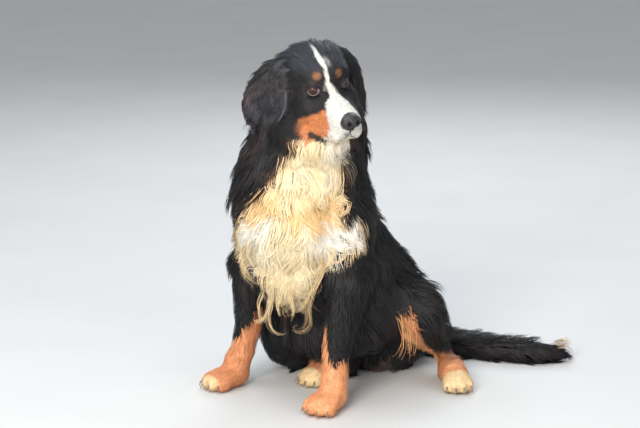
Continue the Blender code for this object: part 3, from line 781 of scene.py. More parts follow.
def middle_line(part, side):
    """The points that a long part's coat runs along, in the drawing's frame."""
    sign = 1 if side == "left" else -1
    if part == "ear":
        ends = np.array(EAR_LINE[side]) * (1, sign, 1)
        t = np.linspace(0, 1, 13)[:, None]
        curve = (1 - t) ** 3 * ends[0] + 3 * t * (1 - t) ** 2 * ends[1]
        return from_head(curve + 3 * t**2 * (1 - t) * ends[2] + t**3 * ends[3])
    return np.array(LEG_LINES[part, side])


LEG_LINES = {
    ("foreleg", "left"): ((0.110, -0.090, 0.450), (0.132, -0.105, 0.300), (0.130, -0.160, 0.110), (0.136, -0.200, 0.0)),
    ("foreleg", "right"): ((-0.108, -0.092, 0.450), (-0.136, -0.102, 0.290), (-0.138, -0.132, 0.120), (-0.157, -0.180, 0.0)),
    ("hindleg", "left"): ((0.130, 0.120, 0.260), (0.200, 0.140, 0.170), (0.190, 0.190, 0.060), (0.275, 0.112, 0.020)),
    ("hindleg", "right"): ((-0.110, 0.120, 0.250), (-0.150, 0.070, 0.160), (-0.070, 0.060, 0.060), (0.000, -0.030, 0.020)),
}
TAIL_LINE = np.array(
    ((0.010, 0.245, 0.085), (0.040, 0.300, 0.056), (0.105, 0.345, 0.038), (0.180, 0.374, 0.033),
     (0.258, 0.396, 0.032), (0.318, 0.422, 0.031), (0.355, 0.444, 0.030), (0.390, 0.466, 0.030))
)


def run_of(points, line):
    """(the line's direction nearest to each point, the way out from the line there)."""
    best, way, out = np.full(len(points), 9.0), np.zeros((len(points), 3)), np.zeros((len(points), 3))
    for start, end in zip(line[:-1], line[1:]):
        step = end - start
        share = np.clip(((points - start) @ step) / (step @ step), 0, 1)
        away = points - (start + share[:, None] * step)
        distance = np.linalg.norm(away, axis=1)
        closer = distance < best
        best = np.where(closer, distance, best)
        way[closer] = unit(step)
        out[closer] = away[closer]
    return way, unit(out)


def head_run(points):
    """Back from the nose, up over the forehead, out and down over the cheeks and the poll."""
    x, y, z = in_head(points).T
    side = np.tanh((y + 0.004) / 0.02)
    low = fade(-z, -0.005, 0.05) * fade(0.115 - x, 0.0, 0.05)
    poll = fade(-x, -0.02, 0.05)
    forehead = fade(z, 0.02, 0.05) * (1 - poll)
    run = np.stack(
        (-1 + 0.6 * poll + 0.15 * low, side * (0.20 * forehead + 0.55 * poll + 0.12), -0.95 * low - 1.0 * poll), 1
    )
    under = (fade(-z, 0.084, 0.096) * fade(x, 0.0, 0.03))[:, None]
    return run @ head_turn.T * (1 - under) + under * (0.0, 0.0, -1.0)


def body_run(points):
    """Down over chest and flanks, back over the spine and rump, and out at the bib's sides."""
    x, y, z = points.T
    chest = fade(-y, 0.08, 0.15)
    middle = fade(z, 0.29, 0.38) * fade(0.54 - z, 0.0, 0.09)
    below = fade(0.33 - z, 0.0, 0.07)
    sweep = np.clip((x - 0.055) / 0.080, -1.3, 1.3)
    run = np.stack(
        (
            chest * (1.25 * middle - 0.40 * below) * sweep + 0.10 * np.sign(x) * (1 - chest),
            0.35 * (1 - chest) - 0.25 * chest,
            -np.ones(len(points)) + 0.30 * chest * middle * np.abs(sweep),
        ),
        1,
    )
    run[:, 0] += (0.22 + 0.25 * chest) * wander(points, 0.13, 21)
    run[:, 1] += 0.18 * wander(points, 0.16, 22)
    return run


def neck_run(points):
    """Down and out from the throat and poll to the shoulders."""
    x, y, z = points.T
    out = unit(np.stack((x - 0.02, y + 0.11, np.zeros(len(x))), 1))
    run = 0.35 * out + np.array((0.0, 0.0, -1.0))
    run[:, 0] += 0.30 * wander(points, 0.12, 23)
    return run


runs = {"head": head_run(skin_points), "neck": neck_run(skin_points), "trunk": body_run(skin_points)}
way, out = run_of(skin_points, TAIL_LINE)
runs["tail"] = way + 0.30 * out + np.array((0, 0, -0.25))
for side in SIDES:
    way, out = run_of(skin_points, middle_line("ear", side))
    spread = 0.45 - 0.43 * fade((out @ head_turn)[:, :1], -0.3, 0.3)  # the front edge's hair runs along it
    runs["ear_" + side] = way + spread * out + np.array((0, 0, -0.15))
    for leg, back in (("foreleg", 0.30), ("hindleg", 0.25)):
        way, out = run_of(skin_points, middle_line(leg, side))
        runs[f"{leg}_{side}"] = way + np.array((0.0, back, -0.1))
    for foot in ("fore", "hind"):
        turn = math.radians(FEET[f"{foot}_{side}"][1])
        toes = np.array((math.sin(turn), -math.cos(turn), -0.55))
        runs[f"paw_{foot}_{side}"] = np.tile(toes, (len(skin_points), 1))

comb = sum(part_share[node][:, None] * unit(runs[node]) for node in FLESH)
comb = blurred(comb, skin_pairs, 10)
comb = unit(comb - (comb * skin_normals).sum(1, keepdims=True) * skin_normals)
print("comb made for", len(comb), "points of skin")

# %% Length, width, standing height and waves of the locks
COAT = {  # length, half width, height of the tips over the skin, wave, density
    "head": (0.0260, 0.00080, 0.0065, 0.0010, 9.0),
    "neck": (0.0640, 0.00115, 0.0170, 0.0030, 2.6),
    "trunk": (0.0660, 0.00120, 0.0155, 0.0030, 2.2),
    "tail": (0.0500, 0.00110, 0.0225, 0.0025, 3.0),
    "ear": (0.0340, 0.00085, 0.0050, 0.0022, 6.5),
    "foreleg": (0.0250, 0.00080, 0.0050, 0.0010, 6.0),
    "hindleg": (0.0380, 0.00100, 0.0095, 0.0020, 4.2),
    "paw_fore": (0.0110, 0.00050, 0.0013, 0.0001, 15.0),
    "paw_hind": (0.0110, 0.00050, 0.0013, 0.0001, 15.0),
}
length, half_width, tip_height, wave, density = (
    sum(part_share[node] * COAT[kind_of(node)][k] for node in FLESH) for k in range(5)
)
seen_from_head = in_head(skin_points)
face = part_share["head"] * fade(seen_from_head[:, 0], -0.010, 0.060)
muzzle = part_share["head"] * fade(seen_from_head[:, 0], 0.070, 0.110)
length += face * (0.0130 - length)
length += muzzle * (0.0075 - length)
half_width += face * (0.00055 - half_width)
half_width += muzzle * (0.00042 - half_width)
tip_height += face * (0.0026 - tip_height)
tip_height += muzzle * (0.0017 - tip_height)
wave *= 1 - face
density += face * (22.0 - density)
density += muzzle * (34.0 - density)
cheek_ruff = part_share["head"] * fade(-seen_from_head[:, 2], 0.05, 0.10) * fade(0.06 - seen_from_head[:, 0], 0, 0.03)
length += cheek_ruff * 0.022
tip_height += cheek_ruff * 0.004
chest = part_share["trunk"] * fade(-skin_points[:, 1], 0.10, 0.17) * fade(skin_points[:, 2], 0.16, 0.22)
length += chest * 0.014
wave += chest * 0.0010
feather = (part_share["foreleg_left"] + part_share["foreleg_right"]) * fade(skin_normals[:, 1], 0.2, 0.9)
feather *= fade(skin_points[:, 2], 0.07, 0.14)
length += feather * 0.020
tip_height += feather * 0.004
low_leg = sum(part_share[f"{leg}_{side}"] for leg in ("foreleg", "hindleg") for side in SIDES)
low_leg *= fade(0.15 - skin_points[:, 2], 0.0, 0.07) * (1 - np.clip(feather, 0, 1))
length += low_leg * (0.0170 - length) * 0.8
tip_height += low_leg * (0.0032 - tip_height) * 0.8
half_width += low_leg * (0.0007 - half_width) * 0.8
for side in SIDES:
    _, share, _ = on_eye(skin_points, side)
    near_eye = (np.linalg.norm(skin_points - eyes[side][0], axis=1) < 0.03) * fade(share, 2.6, 1.5)
    length += near_eye * (0.0045 - length)
    tip_height += near_eye * (0.0009 - tip_height)
    half_width += near_eye * (0.00035 - half_width)
    opening = (np.linalg.norm(skin_points - eyes[side][0], axis=1) < 0.03) * fade(share, 1.22, 1.12)
    density *= 1 - opening
    density += near_eye * (1 - opening) * 30.0
crown = part_share["head"] * fade(seen_from_head[:, 2], 0.035, 0.060) * fade(0.06 - seen_from_head[:, 0], 0, 0.04)
length += crown * 0.012
tip_height += crown * 0.0030
under = part_share["head"] * fade(-seen_from_head[:, 2], 0.084, 0.096) * fade(seen_from_head[:, 0], 0.0, 0.03)
length += under * (0.050 - length)
tip_height += under * (0.012 - tip_height)
half_width += under * (0.0010 - half_width)
density += under * (4.0 - density)
nose_away = np.linalg.norm((seen_from_head - (0.160, 0.0, -0.031)) / (0.016, 0.021, 0.019), axis=1)
density *= fade(nose_away, 1.02, 1.22)
thigh = (part_share["hindleg_left"] + part_share["hindleg_right"]) * fade(skin_points[:, 2], 0.10, 0.17)
length += thigh * 0.018
tip_height += thigh * 0.007
wave += thigh * 0.0015
ear_end = (part_share["ear_left"] + part_share["ear_right"]) * fade(-seen_from_head[:, 2], 0.040, 0.090)
length += ear_end * 0.014
tip_height += ear_end * 0.005
TAIL_WAY = unit(TAIL_LINE[-1] - TAIL_LINE[-2])
tail_end = part_share["tail"] * fade(skin_normals @ TAIL_WAY, 0.1, 0.8) * fade(skin_points[:, 0] + 0.5 * skin_points[:, 1], 0.54, 0.58)
tip_height += tail_end * 0.012
half_width += tail_end * 0.0003
fields = np.stack((length, half_width, tip_height, wave, density), 1)
length, half_width, tip_height, wave, _ = blurred(fields, skin_pairs, 3).T
print("lock length, mm:", (length.min() * 1000).round(1), (length.max() * 1000).round(1))

# %% [markdown]
# ## Growing the locks
#
# Each lock starts a little under the skin and is led over it in short steps: along the comb,
# lifted to its height, sinking a little by its weight, and never into the skin. Locks lean to the
# tip of a leader near them, as hair clings together. A lock is a closed, tapered three-sided
# spike of a few rings, which is the lightest mesh that still looks round. Particle hair would be
# quicker to make, but it is lost when the model is exported.

# %% Read the skin as arrays
skin.data.calc_loop_triangles()
corners = np.empty(len(skin.data.polygons) * 3, np.int64)
skin.data.polygons.foreach_get("vertices", corners)
corners = corners.reshape(-1, 3)
corner_uv = np.empty(len(corners) * 6, np.float32)
skin.data.uv_layers["OFBake"].data.foreach_get("uv", corner_uv)
corner_uv = corner_uv.reshape(-1, 3, 2)
sides = skin_points[corners]
face_area = np.linalg.norm(np.cross(sides[:, 1] - sides[:, 0], sides[:, 2] - sides[:, 0]), axis=1) / 2
face_middle = sides.mean(1)
face_density = density[corners].mean(1)
face_share = {node: part_share[node][corners].mean(1) for node in FLESH}
skin_tree = KDTree(len(skin_points))
for index, place in enumerate(skin_points):
    skin_tree.insert(place, index)
skin_tree.balance()
FLOOR_CLEARANCE = 0.0015


def led_over_skin(roots, normals, sizes, rings, lean, bend, weight):
    """Places of each lock's rings and tip, stepped along the comb."""
    lengths, heights = sizes
    place = roots - normals * 0.0012
    spots, outs = [place], [normals]
    way = None
    for k in range(1, rings + 1):
        near = np.array([skin_tree.find(p)[1] for p in place])
        out = skin_normals[near]
        run = comb[near] + lean
        run = unit(run - (run * out).sum(1, keepdims=True) * out)
        turn = (bend * (k - 0.5) / rings)[:, None]
        run = run * np.cos(turn) + np.cross(out, run) * np.sin(turn)
        run = run + np.array((0, 0, -1.0)) * weight * (k / rings)
        way = unit(run) if way is None else unit(0.45 * way + 0.55 * unit(run))
        place = place + way * (lengths / rings)[:, None]
        near = np.array([skin_tree.find(p)[1] for p in place])
        out = skin_normals[near]
        above = ((place - skin_points[near]) * out).sum(1)
        want = heights * (k / rings) ** 0.7
        lift = np.where(above < want, want - above, 0.30 * (want - above))
        place = place + out * lift[:, None]
        place[:, 2] = np.maximum(place[:, 2], FLOOR_CLEARANCE)
        spots.append(place)
        outs.append(out)
    return np.stack(spots, 1), np.stack(outs, 1)


PATCH = 0.003  # a lock's patch on the unwrap of the skin


def lock_mesh(name, spots, outs, widths, colour, root_uv, painted_root_shade, round=0.32):
    """One mesh of closed three-sided locks from their spots, colours and places on the skin."""
    count, rings = len(spots), spots.shape[1] - 1
    run = np.gradient(spots, axis=1)
    run = unit(run)
    across = unit(np.cross(run, outs))
    up = unit(np.cross(across, run))
    share = np.arange(rings) / rings
    taper = 1 - 0.75 * share**1.4
    half = widths[:, None, None] * taper[None, :, None]
    middle = spots[:, :rings]
    ring = np.stack(
        (
            middle + across[:, :rings] * half,
            middle + up[:, :rings] * half * 0.7,
            middle - across[:, :rings] * half,
        ),
        2,
    )
    points = np.concatenate((ring.reshape(count, rings * 3, 3), spots[:, rings:]), 1)
    facing = np.stack((across[:, :rings], up[:, :rings], -across[:, :rings]), 2)
    facing = facing.reshape(count, rings * 3, 3)
    facing = np.concatenate((facing, run[:, rings:]), 1)
    outward = np.concatenate((np.repeat(outs[:, :rings], 3, 1), outs[:, rings:]), 1)
    normals = unit((1 - round) * outward + round * facing)

    per = rings * 3 + 1
    quads, triangles = [], [(0, 1, 2)]
    for k in range(rings - 1):
        for i in range(3):
            j = (i + 1) % 3
            quads.append((3 * k + i, 3 * k + 3 + i, 3 * k + 3 + j, 3 * k + j))
    last = 3 * (rings - 1)
    triangles += [(last + i, per - 1, last + (i + 1) % 3) for i in range(3)]
    quads, triangles = np.array(quads), np.array(triangles)
    shift = (np.arange(count) * per)[:, None, None]
    loops = np.concatenate(
        ((quads[None] + shift).reshape(count, -1), (triangles[None] + shift).reshape(count, -1)), 1
    ).ravel()
    sizes = np.tile(np.r_[np.full(len(quads), 4), np.full(len(triangles), 3)], count)
    mesh = bpy.data.meshes.new(name)
    mesh.vertices.add(count * per)
    mesh.loops.add(len(loops))
    mesh.polygons.add(len(sizes))
    mesh.vertices.foreach_set("co", (points - BODY_SHIFT).ravel())
    mesh.loops.foreach_set("vertex_index", loops.astype(np.int32))
    mesh.polygons.foreach_set("loop_start", np.r_[0, np.cumsum(sizes)[:-1]].astype(np.int32))
    mesh.polygons.foreach_set("use_smooth", np.ones(len(sizes), bool))
    mesh.update(calc_edges=True)
    mesh.normals_split_custom_set_from_vertices(normals.reshape(-1, 3).astype(np.float32))

    # Painted shade: each lock is darker towards its root, as shade within the coat, and a little lighter at its tip.
    tone = np.interp(np.r_[np.repeat(share, 3), 1.0], (0, 0.35, 1.0), (painted_root_shade, 0.5 + 0.5 * painted_root_shade**0.2, 1.06))
    store_colour(mesh, (colour[:, None] * tone[None, :, None]).reshape(-1, 3))
    u = np.r_[np.tile((-0.5, 0.0, 0.5), rings), 0.0]
    v = np.r_[np.repeat(share - 0.5, 3), 0.5]
    patch = root_uv[:, None] + np.stack((u, v), 1)[None] * PATCH
    layer = mesh.uv_layers.new(name="OFBake")
    layer.data.foreach_set("uv", patch.reshape(-1, 2)[loops].astype(np.float32).ravel())
    return mesh


def grow(name, where, count, rings, seed, material, slot, clump=14, cling=0.62, **more):
    """A piece of coat: count locks on the skin where that share is above 0."""
    draw = np.random.default_rng(seed)
    weight = face_area * face_density * where
    expected = weight * count / weight.sum()
    face = np.repeat(np.arange(len(weight)), np.floor(expected + draw.random(len(weight))).astype(int))
    a, b = draw.random((2, len(face)))
    a, b = np.where(a + b > 1, 1 - a, a), np.where(a + b > 1, 1 - b, b)
    blend = np.stack((1 - a - b, a, b), 1)

    def here(values):
        picked = values[corners[face]]
        return (picked * (blend if picked.ndim == 2 else blend[:, :, None])).sum(1)

    roots, normals = here(skin_points), unit(here(skin_normals))
    size = len(roots)
    part = {node: here(part_share[node]) for node in FLESH}
    leaders = draw.choice(size, max(size // clump, 1), replace=False)
    nearest_leader = KDTree(len(leaders))
    for index, place in enumerate(roots[leaders]):
        nearest_leader.insert(place, index)
    nearest_leader.balance()
    own = leaders[np.array([nearest_leader.find(p)[1] for p in roots])]

    def varied(spread, shared):
        """A random factor for each lock, part of it shared by its clump."""
        return np.exp(draw.normal(0, spread, size) + draw.normal(0, shared, size)[own])

    lengths = here(length) * more.get("longer", 1.0) * varied(0.12, 0.10)
    heights = here(tip_height) * more.get("higher", 1.0) * varied(0.16, more.get("uneven", 0.22))
    widths = here(half_width) * more.get("wider", 1.0) * varied(0.20, 0.05)
    waves = here(wave) * more.get("wavier", 1.0) * varied(0.1, 0.35)
    loose, tousle = more.get("loose", 0.12), more.get("tousle", 0.16)
    lean = draw.normal(0, loose, (size, 3)) + draw.normal(0, tousle, (size, 3))[own]
    bend = draw.normal(0, 0.15, size) + draw.normal(0, more.get("bend", 0.35), size)[own]
    weights = more.get("droop", 0.35)
    spots, outs = led_over_skin(roots, normals, (lengths, heights), rings, lean, bend, weights)
    share = (np.arange(rings + 1) / rings)[None, :, None]
    offset = (roots - roots[own])[:, None]
    toward = spots[own] + 0.25 * offset
    held = cling * fade(lengths, 0.008, 0.022)[:, None, None]
    spots = spots + (toward - spots) * held * share**1.3
    across = unit(np.cross(np.gradient(spots, axis=1), outs))
    turn = draw.uniform(0, 2 * math.pi, size)[own] + draw.normal(0, 0.35, size)
    beats = more.get("beats", 1.25) * lengths / 0.06
    swing = np.sin(2 * math.pi * share[:, :, 0] * beats[:, None] + turn[:, None]) - np.sin(turn)[:, None]
    spots = spots + across * (swing * waves[:, None] * share[:, :, 0])[:, :, None]
    spots[:, :, 2] = np.maximum(spots[:, :, 2], FLOOR_CLEARANCE)

    seen = more.get("seen", 0.62) * rings  # the stretch of a lock that shows takes the colour of its place
    low = int(seen)
    place = spots[:, low] * (1 - seen + low) + spots[:, low + 1] * (seen - low)
    colour = markings(place + draw.normal(0, more.get("stray", 0.0), (size, 3)), part)
    colour = colour * varied(0.10, more.get("patchy", 0.10))[:, None]
    uv = (corner_uv[face] * blend[:, :, None]).sum(1)
    mesh = lock_mesh(name, spots, outs, widths, colour, uv, more.get("painted_root_shade", 0.62), more.get("round", 0.32))
    piece = bpy.data.objects.new(name, mesh)
    bpy.context.scene.collection.objects.link(piece)
    mesh.materials.append(material)
    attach(piece, "root")
    made = size * (6 * (rings - 1) + 4)
    print(f"{name}: {size} locks, {made} triangles")
    return piece


# %% [markdown]
# ## The coat, piece by piece
#
# A piece of coat covers one part of the dog, so that each stays a mesh of moderate size. Short
# locks need two rings and long ones four or more.

# %% Grow every piece of the coat
front_of_head = fade(in_head(face_middle)[:, 0], -0.02, -0.005)
face_across = over_chest(face_middle)
on_bib = face_across > np.interp(face_middle[:, 2], *np.transpose(BIB_RIGHT)) - 0.03
on_bib &= face_across < np.interp(face_middle[:, 2], *np.transpose(BIB_LEFT)) + 0.03
on_bib &= (face_middle[:, 1] < -0.065) & (face_middle[:, 2] > 0.20) & (face_middle[:, 2] < 0.66)
share = np.stack([face_share[node] for node in FLESH], 1)
main_part = np.array(FLESH)[share.argmax(1)]
throat_face = (main_part == "head") & (under[corners].mean(1) > 0.5)
head_face = (main_part == "head") & (front_of_head > 0.5) & ~throat_face
ears_face = ((main_part == "head") & (front_of_head <= 0.5)) | np.isin(main_part, ["ear_left", "ear_right"])
body_face = np.isin(main_part, ["neck", "trunk"])
bib_face = (body_face & on_bib) | throat_face
ruff_face = (main_part == "neck") & ~bib_face
trunk_face = (main_part == "trunk") & ~bib_face
left_face = face_middle[:, 0] > 0.01
foreleg_face = np.isin(main_part, [f"{p}_{s}" for p in ("foreleg", "paw_fore") for s in SIDES])
hindleg_face = np.isin(main_part, [f"{p}_{s}" for p in ("hindleg", "paw_hind") for s in SIDES])

high_bib = bib_face & (face_middle[:, 2] > 0.41)
low_bib = bib_face & (face_middle[:, 2] <= 0.41)
soft = {"clump": 34, "cling": 0.48, "loose": 0.17, "tousle": 0.28, "bend": 0.80, "uneven": 0.20, "seen": 0.55, "painted_root_shade": 0.95, "stray": 0.006, "patchy": 0.05, "wider": 1.18, "round": 0.14}
sleek = {"loose": 0.08, "tousle": 0.05, "bend": 0.05, "droop": 0.0, "seen": 0.5, "painted_root_shade": 0.88}
legs = {"loose": 0.10, "tousle": 0.08, "bend": 0.12, "painted_root_shade": 0.88, "uneven": 0.12}
shaggy = legs | {"tousle": 0.20, "bend": 0.45, "uneven": 0.22, "patchy": 0.18}
wild = {"stray": 0.005, "patchy": 0.26, "round": 0.45}

grow("face_hair", head_face, 17500, 2, 101, short_hair, "coat_black", clump=8, cling=0.25, **sleek)
grow("ear_hair", ears_face, 9500, 3, 102, long_hair, "coat_black", clump=22, bend=0.30, droop=0.3, patchy=0.34)
grow("ruff_hair", ruff_face, 7000, 4, 103, long_hair, "coat_black", clump=26, **wild)
grow("bib_hair_high", high_bib, 7800, 4, 104, pale_hair, "coat_cream", **soft)
grow("bib_hair_low", low_bib, 7800, 4, 110, pale_hair, "coat_cream", **soft)
grow("flank_hair_left", trunk_face & left_face, 8500, 3, 105, long_hair, "coat_black", clump=24, **wild)
grow("flank_hair_right", trunk_face & ~left_face, 8000, 3, 106, long_hair, "coat_black", clump=24, **wild)
grow("foreleg_hair", foreleg_face, 9500, 3, 107, short_hair, "coat_rust", clump=10, cling=0.4, **legs)
grow("hindleg_hair", hindleg_face, 9500, 3, 108, short_hair, "coat_black", clump=16, cling=0.5, **shaggy)
grow("tail_hair", main_part == "tail", 4200, 4, 109, long_hair, "coat_black", clump=20, droop=0.15)

# %% [markdown]
# ## Loose curls and whiskers
#
# Below the bib some long strands hang free and curl into hooks. They don't lie on the skin, so
# each is a bundle of thin locks along a drawn curve. Whiskers are stiff single hairs, set in
# rows on the lips.

# %% Hang the curls and set the whiskers
CURLS = (
    ((-0.004, -0.283, 0.385), (-0.022, -0.279, 0.359), (-0.024, -0.266, 0.334), (-0.015, -0.257, 0.313), (-0.012, -0.253, 0.297)),
    ((-0.038, -0.268, 0.360), (-0.040, -0.275, 0.339), (-0.030, -0.275, 0.313), (-0.022, -0.258, 0.285), (-0.010, -0.253, 0.281), (-0.007, -0.253, 0.291)),
    ((-0.050, -0.250, 0.350), (-0.060, -0.250, 0.318), (-0.052, -0.246, 0.290), (-0.032, -0.244, 0.272), (-0.010, -0.247, 0.272)),
    ((0.021, -0.248, 0.281), (0.015, -0.243, 0.249), (0.017, -0.250, 0.224), (0.005, -0.258, 0.202), (-0.010, -0.263, 0.194), (-0.023, -0.266, 0.198)),
    ((0.012, -0.236, 0.245), (0.004, -0.236, 0.212), (0.006, -0.234, 0.183), (0.018, -0.228, 0.166), (0.030, -0.220, 0.166), (0.034, -0.216, 0.176)),
    ((0.129, -0.206, 0.348), (0.120, -0.198, 0.319), (0.100, -0.196, 0.279), (0.080, -0.200, 0.243), (0.072, -0.207, 0.226), (0.059, -0.215, 0.220), (0.050, -0.220, 0.224)),
    ((0.130, -0.200, 0.338), (0.116, -0.194, 0.302), (0.092, -0.190, 0.266), (0.080, -0.190, 0.232), (0.072, -0.196, 0.210)),
    ((0.076, -0.190, 0.250), (0.076, -0.184, 0.214), (0.077, -0.180, 0.188), (0.065, -0.182, 0.169), (0.049, -0.190, 0.165), (0.040, -0.194, 0.172), (0.047, -0.190, 0.179), (0.056, -0.185, 0.177)),
    ((0.066, -0.186, 0.237), (0.068, -0.182, 0.205), (0.062, -0.182, 0.178), (0.050, -0.188, 0.166), (0.040, -0.193, 0.173)),
    ((0.165, -0.174, 0.369), (0.163, -0.176, 0.351), (0.155, -0.184, 0.339), (0.144, -0.191, 0.339), (0.143, -0.196, 0.350)),
    ((0.151, -0.190, 0.366), (0.139, -0.194, 0.339), (0.123, -0.198, 0.324), (0.107, -0.198, 0.312)),
    ((0.165, -0.154, 0.461), (0.164, -0.164, 0.447), (0.155, -0.177, 0.443), (0.147, -0.188, 0.433)),
    ((0.060, -0.236, 0.273), (0.058, -0.224, 0.240), (0.062, -0.222, 0.218), (0.054, -0.226, 0.200)),
    ((0.040, -0.246, 0.258), (0.036, -0.246, 0.232), (0.042, -0.244, 0.207)),
    ((-0.006, -0.246, 0.256), (-0.014, -0.250, 0.229), (-0.008, -0.250, 0.203), (0.005, -0.246, 0.192)),
)
point_uv = np.zeros((len(skin_points), 2))
point_uv[corners.ravel()] = corner_uv.reshape(-1, 2)


def drawn(line, count):
    """Evenly numbered places on one smooth curve through a line's points."""
    line = np.array(line, float)
    line = np.concatenate((2 * line[:1] - line[1:2], line, 2 * line[-1:] - line[-2:-1]))
    at = np.linspace(0, len(line) - 3, count)
    k = np.minimum(at.astype(int), len(line) - 4)
    t = (at - k)[:, None]
    a, b, c, d = line[k], line[k + 1], line[k + 2], line[k + 3]
    return b + 0.5 * t * ((c - a) + t * ((2 * a - 5 * b + 4 * c - d) + t * (3 * (b - c) + d - a)))


def hang(name, spots, widths, colour, material):
    """A piece of free strands, with their patches where they start from the skin."""
    near = np.array([skin_tree.find(p)[1] for p in spots[:, 0]])
    outs = np.repeat(skin_normals[near][:, None], spots.shape[1], 1)
    mesh = lock_mesh(name, spots, outs, widths, colour, point_uv[near], 0.7)
    piece = bpy.data.objects.new(name, mesh)
    bpy.context.scene.collection.objects.link(piece)
    mesh.materials.append(material)
    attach(piece, "root")
    print(f"{name}: {len(spots)} strands")


def bundle(lines, count, loose, first, second):
    """Thin strands round drawn lines, each with a colour between two."""
    strands, colours = [], []
    for line in lines:
        path, share = drawn(line, 11), np.linspace(0, 1, 11)[:, None]
        for _ in range(count):
            spread = draw.normal(0, loose[0], 3) * (1 - share) + draw.normal(0, loose[1], 3) * share
            reach = np.linspace(0, draw.uniform(0.55, 1.0), 9)
            strands.append(np.stack([np.interp(reach, share[:, 0], (path + spread)[:, k]) for k in range(3)], 1))
            colours.append((first + (second - first) * draw.uniform()) * draw.uniform(0.8, 1.1))
    return np.array(strands), np.array(colours)


THROAT_STRANDS = (
    ((0.156, -0.160, 0.564), (0.162, -0.141, 0.548), (0.162, -0.128, 0.526), (0.158, -0.131, 0.504), (0.156, -0.143, 0.497)),
    ((0.158, -0.155, 0.541), (0.159, -0.140, 0.521), (0.159, -0.136, 0.499), (0.157, -0.149, 0.487)),
)
SHIN_STRANDS = (
    ((0.180, 0.034, 0.168), (0.176, 0.048, 0.135), (0.163, 0.074, 0.104), (0.150, 0.090, 0.078), (0.138, 0.094, 0.060), (0.132, 0.090, 0.056)),
    ((0.192, 0.036, 0.164), (0.188, 0.056, 0.128), (0.172, 0.088, 0.092), (0.160, 0.108, 0.064), (0.150, 0.114, 0.050), (0.144, 0.112, 0.048)),
    ((0.186, 0.034, 0.170), (0.180, 0.052, 0.130), (0.166, 0.080, 0.100), (0.156, 0.096, 0.074), (0.152, 0.100, 0.060)),
)
TAIL_TIP = (
    ((0.358, 0.440, 0.046), (0.376, 0.452, 0.051), (0.394, 0.464, 0.052)),
    ((0.360, 0.446, 0.040), (0.378, 0.456, 0.044), (0.395, 0.466, 0.044)),
    ((0.357, 0.436, 0.049), (0.373, 0.446, 0.056), (0.389, 0.458, 0.059)),
    ((0.360, 0.442, 0.036), (0.376, 0.452, 0.039), (0.392, 0.462, 0.037)),
)
draw = np.random.default_rng(120)
strands, colours = bundle(CURLS, 11, (0.0036, 0.0034), CREAM, 0.3 * CREAM + 0.7 * GOLD)
hang("bib_curls", strands, np.full(len(strands), 0.00055), colours, pale_hair)
strands, colours = bundle(THROAT_STRANDS, 9, (0.0050, 0.0050), 3 * BLACK, 0.35 * CREAM)
hang("throat_strands", strands, np.full(len(strands), 0.00050), colours, long_hair)
strands, colours = bundle(SHIN_STRANDS, 8, (0.0065, 0.0090), 1.1 * LEG_RUST, 0.5 * LEG_RUST + 0.7 * GOLD)
hang("shin_strands", strands, np.full(len(strands), 0.00045), colours, pale_hair)
strands, colours = bundle(TAIL_TIP, 15, (0.0036, 0.0018), 0.50 * TOE_CREAM, TOE_CREAM * (0.85, 0.84, 1.05))
hang("tail_tip_hair", strands, np.full(len(strands), 0.00060), colours, pale_hair)
# These strands are coloured pale, as a painted highlight along the right ear's front edge.
ear_rim = from_head(EAR_EDGE + (0.0010, -0.0030, 0))
strands, colours = bundle((ear_rim[3:7], ear_rim[4:]), 10, (0.0026, 0.0024), 4 * BLACK, BLACK * (9.0, 9.6, 10.5))
hang("ear_rim_hair", strands, np.full(len(strands), 0.00040), colours, long_hair)

strands, colours = [], []
for sign in (1, -1):
    for row in range(4):
        for place in np.linspace(0.120, 0.146, 4):
            root = from_head(np.array((place, 0.045 * sign, -0.044 - 0.008 * row)) + draw.normal(0, 0.0015, 3))
            near = skin_tree.find(root)[1]
            root, out = skin_points[near], skin_normals[near]
            way = unit(out + 0.3 * head_turn[:, 0] - 0.35 * head_turn[:, 2] + draw.normal(0, 0.15, 3))
            span = draw.uniform(0.018, 0.034)
            fall = np.linspace(0, 1, 5)[:, None]
            strands.append(root - out * 0.001 + way * fall * span + np.array((0, 0, -0.20)) * span * fall**2)
            colours.append(WHITE)
hang("whiskers", np.array(strands), np.full(len(strands), 0.00013), np.array(colours), short_hair)

# %% [markdown]
# ## Eyes
#
# A dog's eye shows a brown iris with a dark ring round it, a round pupil and a wet, domed cornea.
# Each eye is a ball turned so that its pole looks out. The pole's cap is drawn out for the cornea, and an
# attribute with the angle from the pole lets the material paint rings that stay sharp.

# %% Make the eyeballs
GAZE = {"left": (1.0, 0.12, 0.08), "right": (1.0, -0.68, 0.10)}  # both look at the camera


